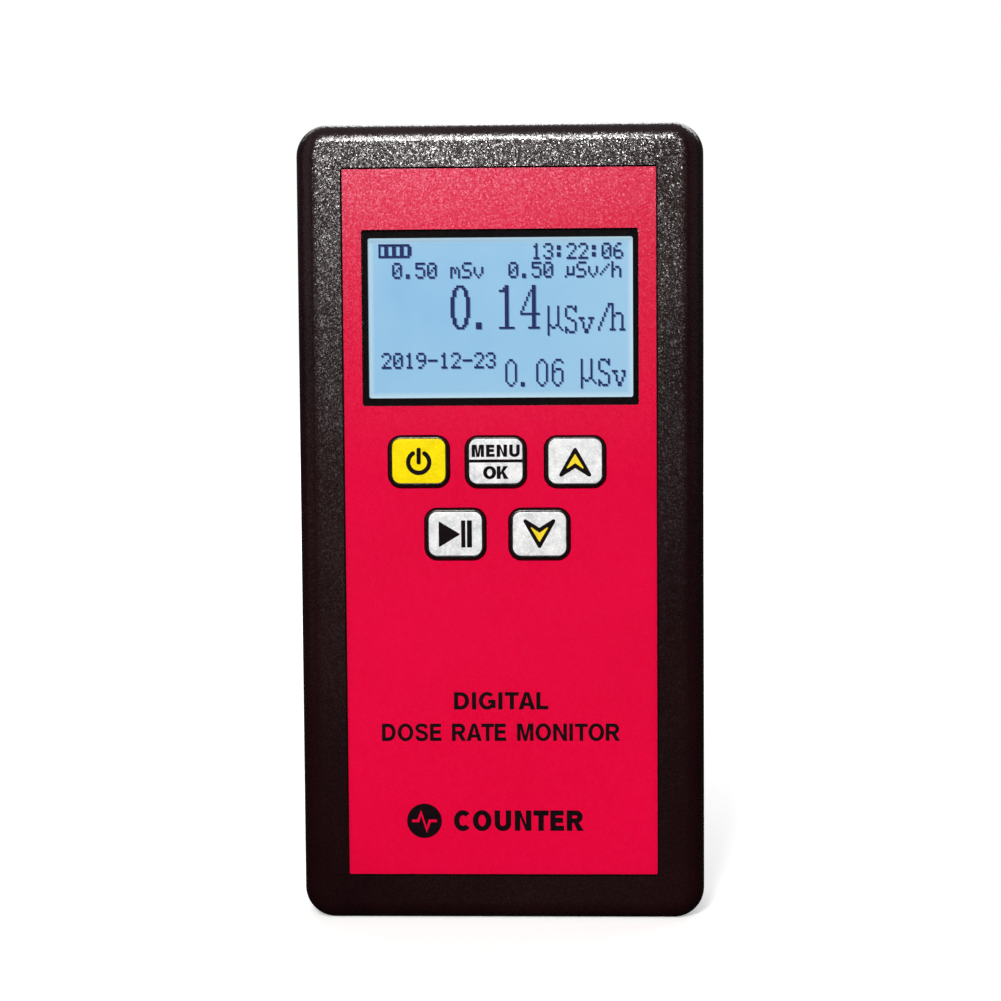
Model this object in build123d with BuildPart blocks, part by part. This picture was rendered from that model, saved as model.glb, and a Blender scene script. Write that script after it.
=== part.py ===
from build123d import *
import os

os.makedirs("parts", exist_ok=True)

# Handheld radiation monitor (geiger counter), standing on its lower end.
# Millimetres.  X is to the right seen from the front, Y goes from front to
# back (the display faces -Y), Z is up along the length of the case.
# Origin: middle of the flat lower end.

# ---------------------------------------------------------------- dimensions
CASE_W = 76.0            # case width, X
CASE_L = 150.0           # case length, Z
CASE_D = 28.0            # case depth, Y
CORNER_R = 5.8           # corner radius in front view
EDGE_R = 3.2             # rounding of the front face's edge
BACK_EDGE_R = 3.0        # rounding of the back face's edge
WALL = 2.2               # side wall thickness
SEAM = 0.3               # chamfer each side of the parting line
LIP = 1.2                # height of the lap joint between the halves

FRONT_Y = -CASE_D / 2    # outer front face
BACK_Y = CASE_D / 2      # outer back face
FRONT_IN = -11.3         # inner face of the front wall
BACK_IN = 11.8           # inner face of the back wall

LABEL_W, LABEL_L, LABEL_T = 58.6, 133.2, 0.25
LABEL_X, LABEL_Z = -0.1, 75.2
RECESS_GAP = 0.2         # gap round the label in its recess
RECESS_Y = -13.15        # floor of the label recess
LABEL_Y = RECESS_Y - LABEL_T

WIN_W, WIN_L, WIN_T = 51.5, 32.7, 0.8
WIN_Z = 114.0
VIEW_W, VIEW_L = 49.5, 29.9          # clear opening over the display
VIEW_X, VIEW_Z = 0.05, 113.95
WIN_BACK = LABEL_Y + WIN_T           # back of the window pane
ADH_T = 0.1                          # adhesive frame behind the pane
LEDGE_Y = WIN_BACK + ADH_T           # ledge in the case under the pane

KEY_W, KEY_L, KEY_R = 11.5, 9.75, 2.4    # outline of a key at the label
KEY_TOP_Y = -14.0
KEY_SLOPE = 0.82                         # how far the skirt slopes in
KEY_RISE = KEY_TOP_Y - LABEL_Y           # negative: proud of the label
KEY_GAP = 0.14
FLANGE_W, FLANGE_L, FLANGE_T = 12.9, 11.1, 0.8
FLANGE_Y = -10.4                         # back of the retaining flange
STEM_R, STEM_END = 2.0, -9.45
KEYS = {                                 # centre (x, z) of each key
    "key_power": (-15.4, 87.1),
    "key_menu": (-0.95, 87.0),
    "key_up": (13.9, 86.95),
    "key_play": (-8.65, 73.45),
    "key_down": (7.15, 73.4),
}
PLUNGER_R, SWITCH_SIDE, SWITCH_TOP = 1.7, 6.0, -8.8

PCB_W, PCB_T = 66.0, 1.6
PCB_Z0, PCB_Z1 = 12.0, 138.0
PCB_FRONT = -5.4
PCB_BACK = PCB_FRONT + PCB_T

CASE_SCREW_AT = [(-31, 7.5), (31, 7.5), (-31, 142.5), (31, 142.5)]
PCB_SCREW_AT = [(-30, 16), (30, 16), (-30, 134.7), (30, 134.7)]
CASE_SCREW_R, CASE_HEAD_R = 1.25, 2.8
PCB_SCREW_R, PCB_HEAD_R = 1.0, 2.2
COUNTERBORE_Y = 8.0

# display module
LCD_FRAME_X, LCD_FRAME_Z0, LCD_FRAME_Z1 = 28.5, 94.0, 131.5
LCD_FRAME_Y = -10.8

# battery bay and door (three AAA cells side by side)
BAY_X, BAY_Z0, BAY_Z1, BAY_FLOOR = 17.0, 13.5, 64.0, 1.0
BAY_WALL = 2.4
DOOR_X, DOOR_Z0, DOOR_Z1, DOOR_T = 18.8, 11.7, 66.0, 2.0
DOOR_GAP = 0.2
DOOR_IN = BACK_Y - DOOR_T
TAB_X0, TAB_X1 = 7.0, 15.0
CELL_R, CELL_LEN, CELL_Y = 5.25, 44.5, 6.4
CELL_X = (-11.0, 0.0, 11.0)
CELL_LOW, CELL_HIGH = 19.0, 63.5     # ends of the outer cells
PLATE_T = 0.4

# detector tube, along the right side
TUBE_X, TUBE_Y, TUBE_Z0, TUBE_Z1, TUBE_R = 27.5, 3.2, 41.0, 127.0, 5.0

BUZZER_AT = (-24.0, 118.0)


def at(y):
    """Plane parallel to the front face at depth y, drawn in (X, Z)."""
    return Plane.XZ.offset(-y)


# ---------------------------------------------------------------- front case
with BuildPart() as front_case:
    with BuildSketch(at(0)):
        with Locations((0, CASE_L / 2)):
            RectangleRounded(CASE_W, CASE_L, CORNER_R)
    extrude(amount=CASE_D / 2)
    fillet(front_case.faces().sort_by(Axis.Y)[0].edges(), EDGE_R)
    chamfer(front_case.faces().sort_by(Axis.Y)[-1].edges(), SEAM)
    # hollow inside
    with BuildSketch(at(0)):
        with Locations((0, CASE_L / 2)):
            RectangleRounded(CASE_W - 2 * WALL, CASE_L - 2 * WALL, CORNER_R - WALL)
    extrude(amount=-FRONT_IN, mode=Mode.SUBTRACT)
    # inner lip of the lap joint
    with BuildSketch(at(LIP)):
        with Locations((0, CASE_L / 2)):
            RectangleRounded(CASE_W - 2 * WALL + 2.0, CASE_L - 2 * WALL + 2.0, CORNER_R - WALL + 1.0)
            RectangleRounded(CASE_W - 2 * WALL, CASE_L - 2 * WALL, CORNER_R - WALL, mode=Mode.SUBTRACT)
    extrude(amount=LIP + 0.6)
    # screw bosses for the back half, and for the circuit board
    with BuildSketch(at(0)):
        with Locations(*CASE_SCREW_AT):
            Circle(3.2)
    extrude(amount=-FRONT_IN + 0.1)
    with BuildSketch(at(PCB_FRONT)):
        with Locations(*PCB_SCREW_AT):
            Circle(2.6)
    extrude(amount=PCB_FRONT - FRONT_IN + 0.1)
    with BuildSketch(at(0)):
        with Locations(*CASE_SCREW_AT):
            Circle(CASE_SCREW_R + 0.02)
    extrude(amount=8.5, mode=Mode.SUBTRACT)
    with BuildSketch(at(PCB_FRONT)):
        with Locations(*PCB_SCREW_AT):
            Circle(PCB_SCREW_R + 0.02)
    extrude(amount=4.8, mode=Mode.SUBTRACT)
    # recess for the printed label
    with BuildSketch(at(RECESS_Y)):
        with Locations((LABEL_X, LABEL_Z)):
            RectangleRounded(LABEL_W + 2 * RECESS_GAP, LABEL_L + 2 * RECESS_GAP, 0.6)
    extrude(amount=2.0, mode=Mode.SUBTRACT)
    # pocket for the window pane, and the opening behind it
    with BuildSketch(at(LEDGE_Y)):
        with Locations((0, WIN_Z)):
            RectangleRounded(WIN_W + 0.4, WIN_L + 0.4, 0.6)
    extrude(amount=2.0, mode=Mode.SUBTRACT)
    with BuildSketch(at(FRONT_IN + 0.5)):
        with Locations((VIEW_X, VIEW_Z)):
            RectangleRounded(VIEW_W, VIEW_L, 0.4)
    extrude(amount=4.0, mode=Mode.SUBTRACT)
    # key openings
    with BuildSketch(at(FRONT_IN + 0.5)):
        with Locations(*KEYS.values()):
            RectangleRounded(KEY_W + 2 * KEY_GAP + 0.1, KEY_L + 2 * KEY_GAP + 0.1, KEY_R + KEY_GAP)
    extrude(amount=4.0, mode=Mode.SUBTRACT)
front_case.part.label = "front_case"
export_step(front_case.part, "parts/front_case.step")

# ----------------------------------------------------------------- rear case
with BuildPart() as rear_case:
    with BuildSketch(at(BACK_Y)):
        with Locations((0, CASE_L / 2)):
            RectangleRounded(CASE_W, CASE_L, CORNER_R)
    extrude(amount=CASE_D / 2)
    fillet(rear_case.faces().sort_by(Axis.Y)[-1].edges(), BACK_EDGE_R)
    chamfer(rear_case.faces().sort_by(Axis.Y)[0].edges(), SEAM)
    with BuildSketch(at(BACK_IN)):
        with Locations((0, CASE_L / 2)):
            RectangleRounded(CASE_W - 2 * WALL, CASE_L - 2 * WALL, CORNER_R - WALL)
    extrude(amount=BACK_IN, mode=Mode.SUBTRACT)
    # rebate that takes the front half's lip
    with BuildSketch(at(LIP + 0.2)):
        with Locations((0, CASE_L / 2)):
            RectangleRounded(CASE_W - 2 * WALL + 2.2, CASE_L - 2 * WALL + 2.2, CORNER_R - WALL + 1.1)
    extrude(amount=LIP + 0.2, mode=Mode.SUBTRACT)
    # battery bay block and screw columns
    with BuildSketch(at(BACK_IN + 0.2)):
        with Locations((0, (BAY_Z0 + BAY_Z1) / 2)):
            Rectangle(2 * (BAY_X + BAY_WALL), BAY_Z1 - BAY_Z0 + 2 * BAY_WALL + 0.2)
        with Locations(*CASE_SCREW_AT):
            Circle(4.4)
    extrude(amount=BACK_IN + 0.2)
    with BuildSketch(at(BACK_Y + 0.5)):
        with Locations((0, (BAY_Z0 + BAY_Z1) / 2)):
            Rectangle(2 * BAY_X, BAY_Z1 - BAY_Z0)
    extrude(amount=BACK_Y + 0.5 - BAY_FLOOR, mode=Mode.SUBTRACT)
    with BuildSketch(at(BACK_Y + 0.5)):
        with Locations((0, (DOOR_Z0 + DOOR_Z1) / 2)):
            RectangleRounded(2 * (DOOR_X + DOOR_GAP), DOOR_Z1 - DOOR_Z0 + 2 * DOOR_GAP, 1.0)
    extrude(amount=0.5 + DOOR_T + 0.05, mode=Mode.SUBTRACT)
    # low ribs that keep the cells apart
    with BuildSketch(at(BAY_FLOOR + 2.0)):
        with Locations((-5.5, 39), (5.5, 39)):
            Rectangle(0.8, 38)
    extrude(amount=2.2)
    # counterbored screw holes
    with BuildSketch(at(BACK_Y + 0.5)):
        with Locations(*CASE_SCREW_AT):
            Circle(CASE_HEAD_R + 0.3)
    extrude(amount=BACK_Y + 0.5 - COUNTERBORE_Y, mode=Mode.SUBTRACT)
    with BuildSketch(at(BACK_Y)):
        with Locations(*CASE_SCREW_AT):
            Circle(1.6)
    extrude(amount=BACK_Y, mode=Mode.SUBTRACT)
    # slots over the detector tube
    with BuildSketch(at(BACK_Y + 0.5)):
        with Locations(*[(TUBE_X, 62 + 4.4 * i) for i in range(12)]):
            SlotOverall(9.0, 1.7)
    extrude(amount=4.0, mode=Mode.SUBTRACT)
    # sound holes over the buzzer
    with BuildSketch(at(BACK_Y + 0.5)):
        with Locations(BUZZER_AT):
            Circle(0.8)
            with PolarLocations(3.2, 6):
                Circle(0.8)
    extrude(amount=4.0, mode=Mode.SUBTRACT)
    # slots under the lower edge for the door's two tabs
    with BuildSketch(at(BACK_IN)):
        with Locations((-11, 11.45), (11, 11.45)):
            Rectangle(TAB_X1 - TAB_X0 + 0.8, 4.3)
    extrude(amount=2.3, mode=Mode.SUBTRACT)
    with BuildSketch(at(DOOR_IN)):
        with Locations((-11, 12.6), (11, 12.6)):
            Rectangle(TAB_X1 - TAB_X0 + 0.8, 2.0)
    extrude(amount=0.5, mode=Mode.SUBTRACT)
    # notch for the door's latch finger, and the fingernail scoop above it
    with BuildSketch(at(BACK_Y + 0.5)):
        with Locations((0, 67.65)):
            Rectangle(10.8, 3.3)
    extrude(amount=2.1, mode=Mode.SUBTRACT)
    with BuildSketch(Plane.YZ.offset(-5.4)):
        with Locations((BACK_Y + 5.9, 72.4)):
            Circle(7.0)
    extrude(amount=10.8, mode=Mode.SUBTRACT)
    # slots for the contact tails
    with BuildSketch(at(3.5)):
        with Locations((-11, 12.3), (11, 65.3)):
            Rectangle(3.4, 3.0)
    extrude(amount=1.0, mode=Mode.SUBTRACT)
rear_case.part.label = "rear_case"
export_step(rear_case.part, "parts/rear_case.step")

# -------------------------------------------------------------- battery door
with BuildPart() as battery_door:
    with BuildSketch(at(BACK_Y)):
        with Locations((0, (DOOR_Z0 + DOOR_Z1) / 2)):
            RectangleRounded(2 * DOOR_X, DOOR_Z1 - DOOR_Z0, 0.8)
    extrude(amount=DOOR_T)
    chamfer(battery_door.faces().sort_by(Axis.Y)[-1].edges(), 0.25)
    # latch finger at the top edge
    with BuildSketch(at(BACK_Y)):
        with Locations((0, 67.25)):
            RectangleRounded(10.0, 3.5, 0.6)
    extrude(amount=1.4)
    # finger grip grooves
    with BuildSketch(at(BACK_Y)):
        with Locations(*[(0, 53 + 2.2 * i) for i in range(5)]):
            SlotOverall(20.0, 1.1)
    extrude(amount=0.5, mode=Mode.SUBTRACT)
    # two tabs at the lower edge
    with BuildSketch(at(11.6)):
        with Locations((-11, 11.45), (11, 11.45)):
            Rectangle(TAB_X1 - TAB_X0, 3.7)
    extrude(amount=1.2)
    with BuildSketch(at(DOOR_IN + 0.2)):
        with Locations((-11, 12.6), (11, 12.6)):
            Rectangle(TAB_X1 - TAB_X0, 1.4)
    extrude(amount=0.8)
battery_door.part.label = "battery_door"
export_step(battery_door.part, "parts/battery_door.step")

# -------------------------------------------------------------------- screws
with BuildPart() as case_screws:
    with BuildSketch(at(COUNTERBORE_Y + 1.8)):
        with Locations(*CASE_SCREW_AT):
            Circle(CASE_HEAD_R)
    extrude(amount=1.8)
    chamfer(case_screws.faces().group_by(Axis.Y)[-1].edges(), 0.4)
    with BuildSketch(at(COUNTERBORE_Y + 0.1)):
        with Locations(*CASE_SCREW_AT):
            Circle(CASE_SCREW_R)
    extrude(amount=15.6)
    with BuildSketch(at(COUNTERBORE_Y + 2.0)):
        with Locations(*CASE_SCREW_AT):
            Rectangle(2.9, 0.7)
            Rectangle(0.7, 2.9)
    extrude(amount=1.2, mode=Mode.SUBTRACT)
case_screws.part.label = "case_screws"
export_step(case_screws.part, "parts/case_screws.step")

with BuildPart() as pcb_screws:
    with BuildSketch(at(PCB_BACK + 1.4)):
        with Locations(*PCB_SCREW_AT):
            Circle(PCB_HEAD_R)
    extrude(amount=1.4)
    with BuildSketch(at(PCB_BACK + 0.1)):
        with Locations(*PCB_SCREW_AT):
            Circle(PCB_SCREW_R)
    extrude(amount=6.1)
    with BuildSketch(at(PCB_BACK + 1.5)):
        with Locations(*PCB_SCREW_AT):
            Rectangle(2.4, 0.6)
            Rectangle(0.6, 2.4)
    extrude(amount=0.9, mode=Mode.SUBTRACT)
pcb_screws.part.label = "pcb_screws"
export_step(pcb_screws.part, "parts/pcb_screws.step")

# ----------------------------------------------------- label and window pane
with BuildPart() as front_label:
    with BuildSketch(at(RECESS_Y)):
        with Locations((LABEL_X, LABEL_Z)):
            RectangleRounded(LABEL_W, LABEL_L, 0.25)
        with Locations((0, WIN_Z)):
            RectangleRounded(WIN_W + 0.2, WIN_L + 0.2, 0.5, mode=Mode.SUBTRACT)
        with Locations(*KEYS.values()):
            RectangleRounded(KEY_W + 2 * KEY_GAP, KEY_L + 2 * KEY_GAP, KEY_R + KEY_GAP, mode=Mode.SUBTRACT)
    extrude(amount=LABEL_T)
front_label.part.label = "front_label"
export_step(front_label.part, "parts/front_label.step")

with BuildPart() as display_window:
    with BuildSketch(at(WIN_BACK)):
        with Locations((0, WIN_Z)):
            RectangleRounded(WIN_W, WIN_L, 0.4)
    extrude(amount=WIN_T)
    chamfer(display_window.faces().sort_by(Axis.Y)[0].edges(), 0.12)
display_window.part.label = "display_window"
export_step(display_window.part, "parts/display_window.step")

with BuildPart() as window_adhesive:
    with BuildSketch(at(LEDGE_Y)):
        with Locations((0, WIN_Z)):
            RectangleRounded(WIN_W, WIN_L, 0.4)
        with Locations((VIEW_X, VIEW_Z)):
            RectangleRounded(VIEW_W, VIEW_L, 0.4, mode=Mode.SUBTRACT)
    extrude(amount=ADH_T)
window_adhesive.part.label = "window_adhesive"
export_step(window_adhesive.part, "parts/window_adhesive.step")

# ------------------------------------------------------------ display module
with BuildPart() as lcd_gasket:
    with BuildSketch(at(LCD_FRAME_Y)):
        with Locations((0, 113.5)):
            Rectangle(55.0, 35.0)
        with Locations((0, WIN_Z)):
            Rectangle(50.6, 31.0, mode=Mode.SUBTRACT)
    extrude(amount=LCD_FRAME_Y - FRONT_IN)
lcd_gasket.part.label = "lcd_gasket"
export_step(lcd_gasket.part, "parts/lcd_gasket.step")

with BuildPart() as lcd_frame:
    frame_mid = (LCD_FRAME_Z0 + LCD_FRAME_Z1) / 2
    frame_len = LCD_FRAME_Z1 - LCD_FRAME_Z0
    with BuildSketch(at(PCB_FRONT)):
        with Locations((0, frame_mid)):
            RectangleRounded(2 * LCD_FRAME_X, frame_len, 0.8)
    extrude(amount=PCB_FRONT - LCD_FRAME_Y)
    with BuildSketch(at(PCB_FRONT)):
        with Locations((0, frame_mid)):
            Rectangle(2 * LCD_FRAME_X - 1.0, frame_len - 1.0)
    extrude(amount=PCB_FRONT - LCD_FRAME_Y - 0.4, mode=Mode.SUBTRACT)
    with BuildSketch(at(PCB_FRONT)):
        with Locations((0, WIN_Z)):
            Rectangle(50.4, 30.8)
    extrude(amount=8.0, mode=Mode.SUBTRACT)
lcd_frame.part.label = "lcd_frame"
export_step(lcd_frame.part, "parts/lcd_frame.step")

with BuildPart() as lcd_polariser:
    with BuildSketch(at(LCD_FRAME_Y + 0.6)):
        with Locations((0, WIN_Z)):
            Rectangle(51.2, 31.6)
    extrude(amount=0.2)
lcd_polariser.part.label = "lcd_polariser"
export_step(lcd_polariser.part, "parts/lcd_polariser.step")

with BuildPart() as lcd_glass:
    with BuildSketch(at(-8.4)):
        with Locations((0, 112.95)):
            Rectangle(54.8, 34.9)
    extrude(amount=0.9)
    with BuildSketch(at(-9.3)):
        with Locations((0, 114.2)):
            Rectangle(54.8, 32.4)
    extrude(amount=0.9)
lcd_glass.part.label = "lcd_glass"
export_step(lcd_glass.part, "parts/lcd_glass.step")

with BuildPart() as lcd_driver_chip:
    with BuildSketch(at(-9.3)):
        with Locations((0, 97.0)):
            Rectangle(12.0, 1.1)
    extrude(amount=0.5)
lcd_driver_chip.part.label = "lcd_driver_chip"
export_step(lcd_driver_chip.part, "parts/lcd_driver_chip.step")

with BuildPart() as lcd_backlight:
    with BuildSketch(at(PCB_FRONT)):
        with Locations((0, 112.9)):
            RectangleRounded(55.6, 35.8, 0.6)
    extrude(amount=3.0)
lcd_backlight.part.label = "lcd_backlight"
export_step(lcd_backlight.part, "parts/lcd_backlight.step")

with BuildPart() as lcd_flex:
    # flat cable folded over the glass edge down to the board
    with BuildSketch(Plane.YZ.offset(-10.0)):
        with BuildLine():
            Polyline(
                (-9.3, 96.0), (-9.45, 96.0), (-9.45, 94.6), (PCB_FRONT, 94.6),
                (PCB_FRONT, 94.75), (-9.3, 94.75), close=True,
            )
        make_face()
    extrude(amount=20.0)
lcd_flex.part.label = "lcd_flex"
export_step(lcd_flex.part, "parts/lcd_flex.step")

# ---------------------------------------------------------------------- keys
for key_name, (kx, kz) in KEYS.items():
    with BuildPart() as key:
        with BuildSketch(at(FLANGE_Y - FLANGE_T)):
            with Locations((kx, kz)):
                RectangleRounded(KEY_W, KEY_L, KEY_R)
        extrude(amount=FLANGE_Y - FLANGE_T - KEY_TOP_Y)
        key_face = key.faces().sort_by(Axis.Y)[0]
        chamfer(key_face.edges(), length=KEY_SLOPE, length2=-KEY_RISE - 0.05, reference=key_face)
        with BuildSketch(at(FLANGE_Y)):
            with Locations((kx, kz)):
                RectangleRounded(FLANGE_W, FLANGE_L, KEY_R + 0.6)
        extrude(amount=FLANGE_T)
        with BuildSketch(at(STEM_END)):
            with Locations((kx, kz)):
                Circle(STEM_R)
        extrude(amount=STEM_END - FLANGE_Y)
    key.part.label = key_name
    export_step(key.part, "parts/" + key_name + ".step")

    plunger_name = key_name.replace("key_", "plunger_")
    with BuildPart() as plunger:
        with BuildSketch(at(-8.1)):
            with Locations((kx, kz)):
                Circle(PLUNGER_R)
        extrude(amount=1.3)
        chamfer(plunger.faces().sort_by(Axis.Y)[0].edges(), 0.2)
    plunger.part.label = plunger_name
    export_step(plunger.part, "parts/" + plunger_name + ".step")

with BuildPart() as tact_switches:
    with BuildSketch(at(PCB_FRONT)):
        with Locations(*KEYS.values()):
            Rectangle(SWITCH_SIDE, SWITCH_SIDE)
    extrude(amount=PCB_FRONT - SWITCH_TOP)
    chamfer(tact_switches.faces().group_by(Axis.Y)[0].edges(), 0.3)
    with BuildSketch(at(-7.0)):
        with Locations(*KEYS.values()):
            Circle(PLUNGER_R + 0.15)
    extrude(amount=3.0, mode=Mode.SUBTRACT)
tact_switches.part.label = "tact_switches"
export_step(tact_switches.part, "parts/tact_switches.step")

# ------------------------------------------------------------- circuit board
with BuildPart() as main_pcb:
    with BuildSketch(at(PCB_BACK)):
        with Locations((0, (PCB_Z0 + PCB_Z1) / 2)):
            RectangleRounded(PCB_W, PCB_Z1 - PCB_Z0, 1.5)
        with Locations(*PCB_SCREW_AT):
            Circle(PCB_SCREW_R + 0.15, mode=Mode.SUBTRACT)
    extrude(amount=PCB_T)
main_pcb.part.label = "main_pcb"
export_step(main_pcb.part, "parts/main_pcb.step")

with BuildPart() as mcu_chip:
    with BuildSketch(at(PCB_BACK + 1.5)):
        with Locations((-2, 101)):
            Rectangle(7.0, 7.0)
    extrude(amount=1.4)
    chamfer(mcu_chip.edges().filter_by(Axis.Y), 0.3)
mcu_chip.part.label = "mcu_chip"
export_step(mcu_chip.part, "parts/mcu_chip.step")

with BuildPart() as mcu_pins:
    with BuildSketch(at(PCB_BACK + 0.2)):
        with Locations((-2, 101)):
            with GridLocations(8.0, 0.5, 2, 12):
                Rectangle(0.95, 0.24)
            with GridLocations(0.5, 8.0, 12, 2):
                Rectangle(0.24, 0.95)
    extrude(amount=0.2)
mcu_pins.part.label = "mcu_pins"
export_step(mcu_pins.part, "parts/mcu_pins.step")

with BuildPart() as memory_chip:
    with BuildSketch(at(PCB_BACK + 1.5)):
        with Locations((-14, 93)):
            Rectangle(4.9, 3.9)
    extrude(amount=1.5)
    chamfer(memory_chip.faces().sort_by(Axis.Y)[-1].edges(), 0.3)
memory_chip.part.label = "memory_chip"
export_step(memory_chip.part, "parts/memory_chip.step")

with BuildPart() as small_parts:
    with BuildSketch(at(PCB_BACK + 0.7)):
        with Locations((-2, 112.5)):
            with GridLocations(3.6, 2.6, 6, 3):
                Rectangle(2.0, 1.25)
        with Locations((14, 106)):
            with GridLocations(3.6, 2.6, 2, 4):
                Rectangle(2.0, 1.25)
    extrude(amount=0.7)
small_parts.part.label = "small_parts"
export_step(small_parts.part, "parts/small_parts.step")

with BuildPart() as clock_crystal:
    with BuildSketch(Plane.XY.offset(96.0)):
        with Locations((-22.0, PCB_BACK + 1.05)):
            Circle(1.0)
    extrude(amount=6.0)
    fillet(clock_crystal.faces().sort_by(Axis.Z)[-1].edges(), 0.3)
clock_crystal.part.label = "clock_crystal"
export_step(clock_crystal.part, "parts/clock_crystal.step")

with BuildPart() as main_crystal:
    with BuildSketch(at(PCB_BACK + 3.5)):
        with Locations((-14, 101)):
            SlotOverall(11.0, 4.4, rotation=90)
    extrude(amount=3.5)
    fillet(main_crystal.faces().sort_by(Axis.Y)[-1].edges(), 0.5)
main_crystal.part.label = "main_crystal"
export_step(main_crystal.part, "parts/main_crystal.step")

with BuildPart() as filter_capacitors:
    with BuildSketch(at(PCB_BACK + 1.0)):
        with Locations((-28, 92), (-28, 101)):
            Rectangle(6.4, 6.4)
    extrude(amount=1.0)
    with BuildSketch(at(PCB_BACK + 7.4)):
        with Locations((-28, 92), (-28, 101)):
            Circle(3.0)
    extrude(amount=6.5)
    fillet(filter_capacitors.faces().group_by(Axis.Y)[-1].edges(), 0.4)
filter_capacitors.part.label = "filter_capacitors"
export_step(filter_capacitors.part, "parts/filter_capacitors.step")

# ----------------------------------------------------- high-voltage converter
HV_X, HV_Z = 12.5, 82.0
with BuildPart() as hv_inductor_core:
    with BuildSketch(at(PCB_BACK + 6.0)):
        with Locations((HV_X, HV_Z)):
            Circle(4.5)
    extrude(amount=0.9)
    with BuildSketch(at(PCB_BACK + 5.5)):
        with Locations((HV_X, HV_Z)):
            Circle(1.9)
    extrude(amount=5.0)
    with BuildSketch(at(PCB_BACK + 0.9)):
        with Locations((HV_X, HV_Z)):
            Circle(4.5)
    extrude(amount=0.9)
hv_inductor_core.part.label = "hv_inductor_core"
export_step(hv_inductor_core.part, "parts/hv_inductor_core.step")

with BuildPart() as hv_inductor_coil:
    with BuildSketch(at(PCB_BACK + 5.05)):
        with Locations((HV_X, HV_Z)):
            Circle(4.0)
            Circle(1.95, mode=Mode.SUBTRACT)
    extrude(amount=4.1)
hv_inductor_coil.part.label = "hv_inductor_coil"
export_step(hv_inductor_coil.part, "parts/hv_inductor_coil.step")

with BuildPart() as hv_capacitors:
    with BuildSketch(at(PCB_BACK + 6.5)):
        with Locations((0.5, 79), (0.5, 84), (0.5, 89)):
            Rectangle(7.2, 3.4)
    extrude(amount=6.5)
    fillet(hv_capacitors.edges().filter_by(Axis.Y), 0.4)
hv_capacitors.part.label = "hv_capacitors"
export_step(hv_capacitors.part, "parts/hv_capacitors.step")

with BuildPart() as hv_diodes:
    with BuildSketch(Plane.YZ.offset(8.5)):
        with Locations(*[(PCB_BACK + 1.35, 91 + 3.4 * i) for i in range(3)]):
            Circle(1.3)
    extrude(amount=5.0)
hv_diodes.part.label = "hv_diodes"
export_step(hv_diodes.part, "parts/hv_diodes.step")

with BuildPart() as hv_resistors:
    with BuildSketch(Plane.YZ.offset(8.0)):
        with Locations(*[(PCB_BACK + 1.25, 121 + 3.6 * i) for i in range(3)]):
            Circle(1.2)
    extrude(amount=6.3)
    fillet(hv_resistors.edges(), 0.4)
hv_resistors.part.label = "hv_resistors"
export_step(hv_resistors.part, "parts/hv_resistors.step")

# -------------------------------------------------------------- clock backup
with BuildPart() as coin_holder:
    with BuildSketch(at(PCB_BACK + 3.2)):
        with Locations((-23, 79)):
            RectangleRounded(15.0, 15.0, 2.0)
    extrude(amount=3.2)
    with BuildSketch(at(PCB_BACK + 3.3)):
        with Locations((-23, 79)):
            Circle(6.4)
    extrude(amount=2.5, mode=Mode.SUBTRACT)
coin_holder.part.label = "coin_holder"
export_step(coin_holder.part, "parts/coin_holder.step")

with BuildPart() as coin_cell:
    with BuildSketch(at(PCB_BACK + 2.85)):
        with Locations((-23, 79)):
            Circle(6.25)
    extrude(amount=2.0)
    chamfer(coin_cell.faces().sort_by(Axis.Y)[-1].edges(), 0.3)
coin_cell.part.label = "coin_cell"
export_step(coin_cell.part, "parts/coin_cell.step")

with BuildPart() as buzzer:
    with BuildSketch(at(PCB_BACK + 8.0)):
        with Locations(BUZZER_AT):
            Circle(6.0)
    extrude(amount=8.0)
    fillet(buzzer.faces().sort_by(Axis.Y)[-1].edges(), 0.5)
    with BuildSketch(at(PCB_BACK + 8.1)):
        with Locations(BUZZER_AT):
            Circle(1.1)
    extrude(amount=2.2, mode=Mode.SUBTRACT)
buzzer.part.label = "buzzer"
export_step(buzzer.part, "parts/buzzer.step")

# ------------------------------------------------------------- detector tube
with BuildPart() as gm_tube_glass:
    with BuildSketch(Plane.XY.offset(TUBE_Z0)):
        with Locations((TUBE_X, TUBE_Y)):
            Circle(TUBE_R)
    extrude(amount=TUBE_Z1 - TUBE_Z0)
    with BuildSketch(Plane.XY.offset(TUBE_Z0 + 0.8)):
        with Locations((TUBE_X, TUBE_Y)):
            Circle(TUBE_R - 0.7)
    extrude(amount=TUBE_Z1 - TUBE_Z0 - 1.6, mode=Mode.SUBTRACT)
    with BuildSketch(Plane.XY.offset(TUBE_Z0 - 1)):
        with Locations((TUBE_X, TUBE_Y)):
            Circle(0.18)
    extrude(amount=TUBE_Z1 - TUBE_Z0 + 2, mode=Mode.SUBTRACT)
gm_tube_glass.part.label = "gm_tube_glass"
export_step(gm_tube_glass.part, "parts/gm_tube_glass.step")

with BuildPart() as gm_cathode:
    with BuildSketch(Plane.XY.offset(TUBE_Z0 + 10)):
        with Locations((TUBE_X, TUBE_Y)):
            Circle(4.15)
            Circle(3.95, mode=Mode.SUBTRACT)
    extrude(amount=TUBE_Z1 - TUBE_Z0 - 20)
gm_cathode.part.label = "gm_cathode"
export_step(gm_cathode.part, "parts/gm_cathode.step")

with BuildPart() as gm_anode:
    with BuildSketch(Plane.XY.offset(TUBE_Z0)):
        with Locations((TUBE_X, TUBE_Y)):
            Circle(0.15)
    extrude(amount=TUBE_Z1 - TUBE_Z0)
gm_anode.part.label = "gm_anode"
export_step(gm_anode.part, "parts/gm_anode.step")

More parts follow.
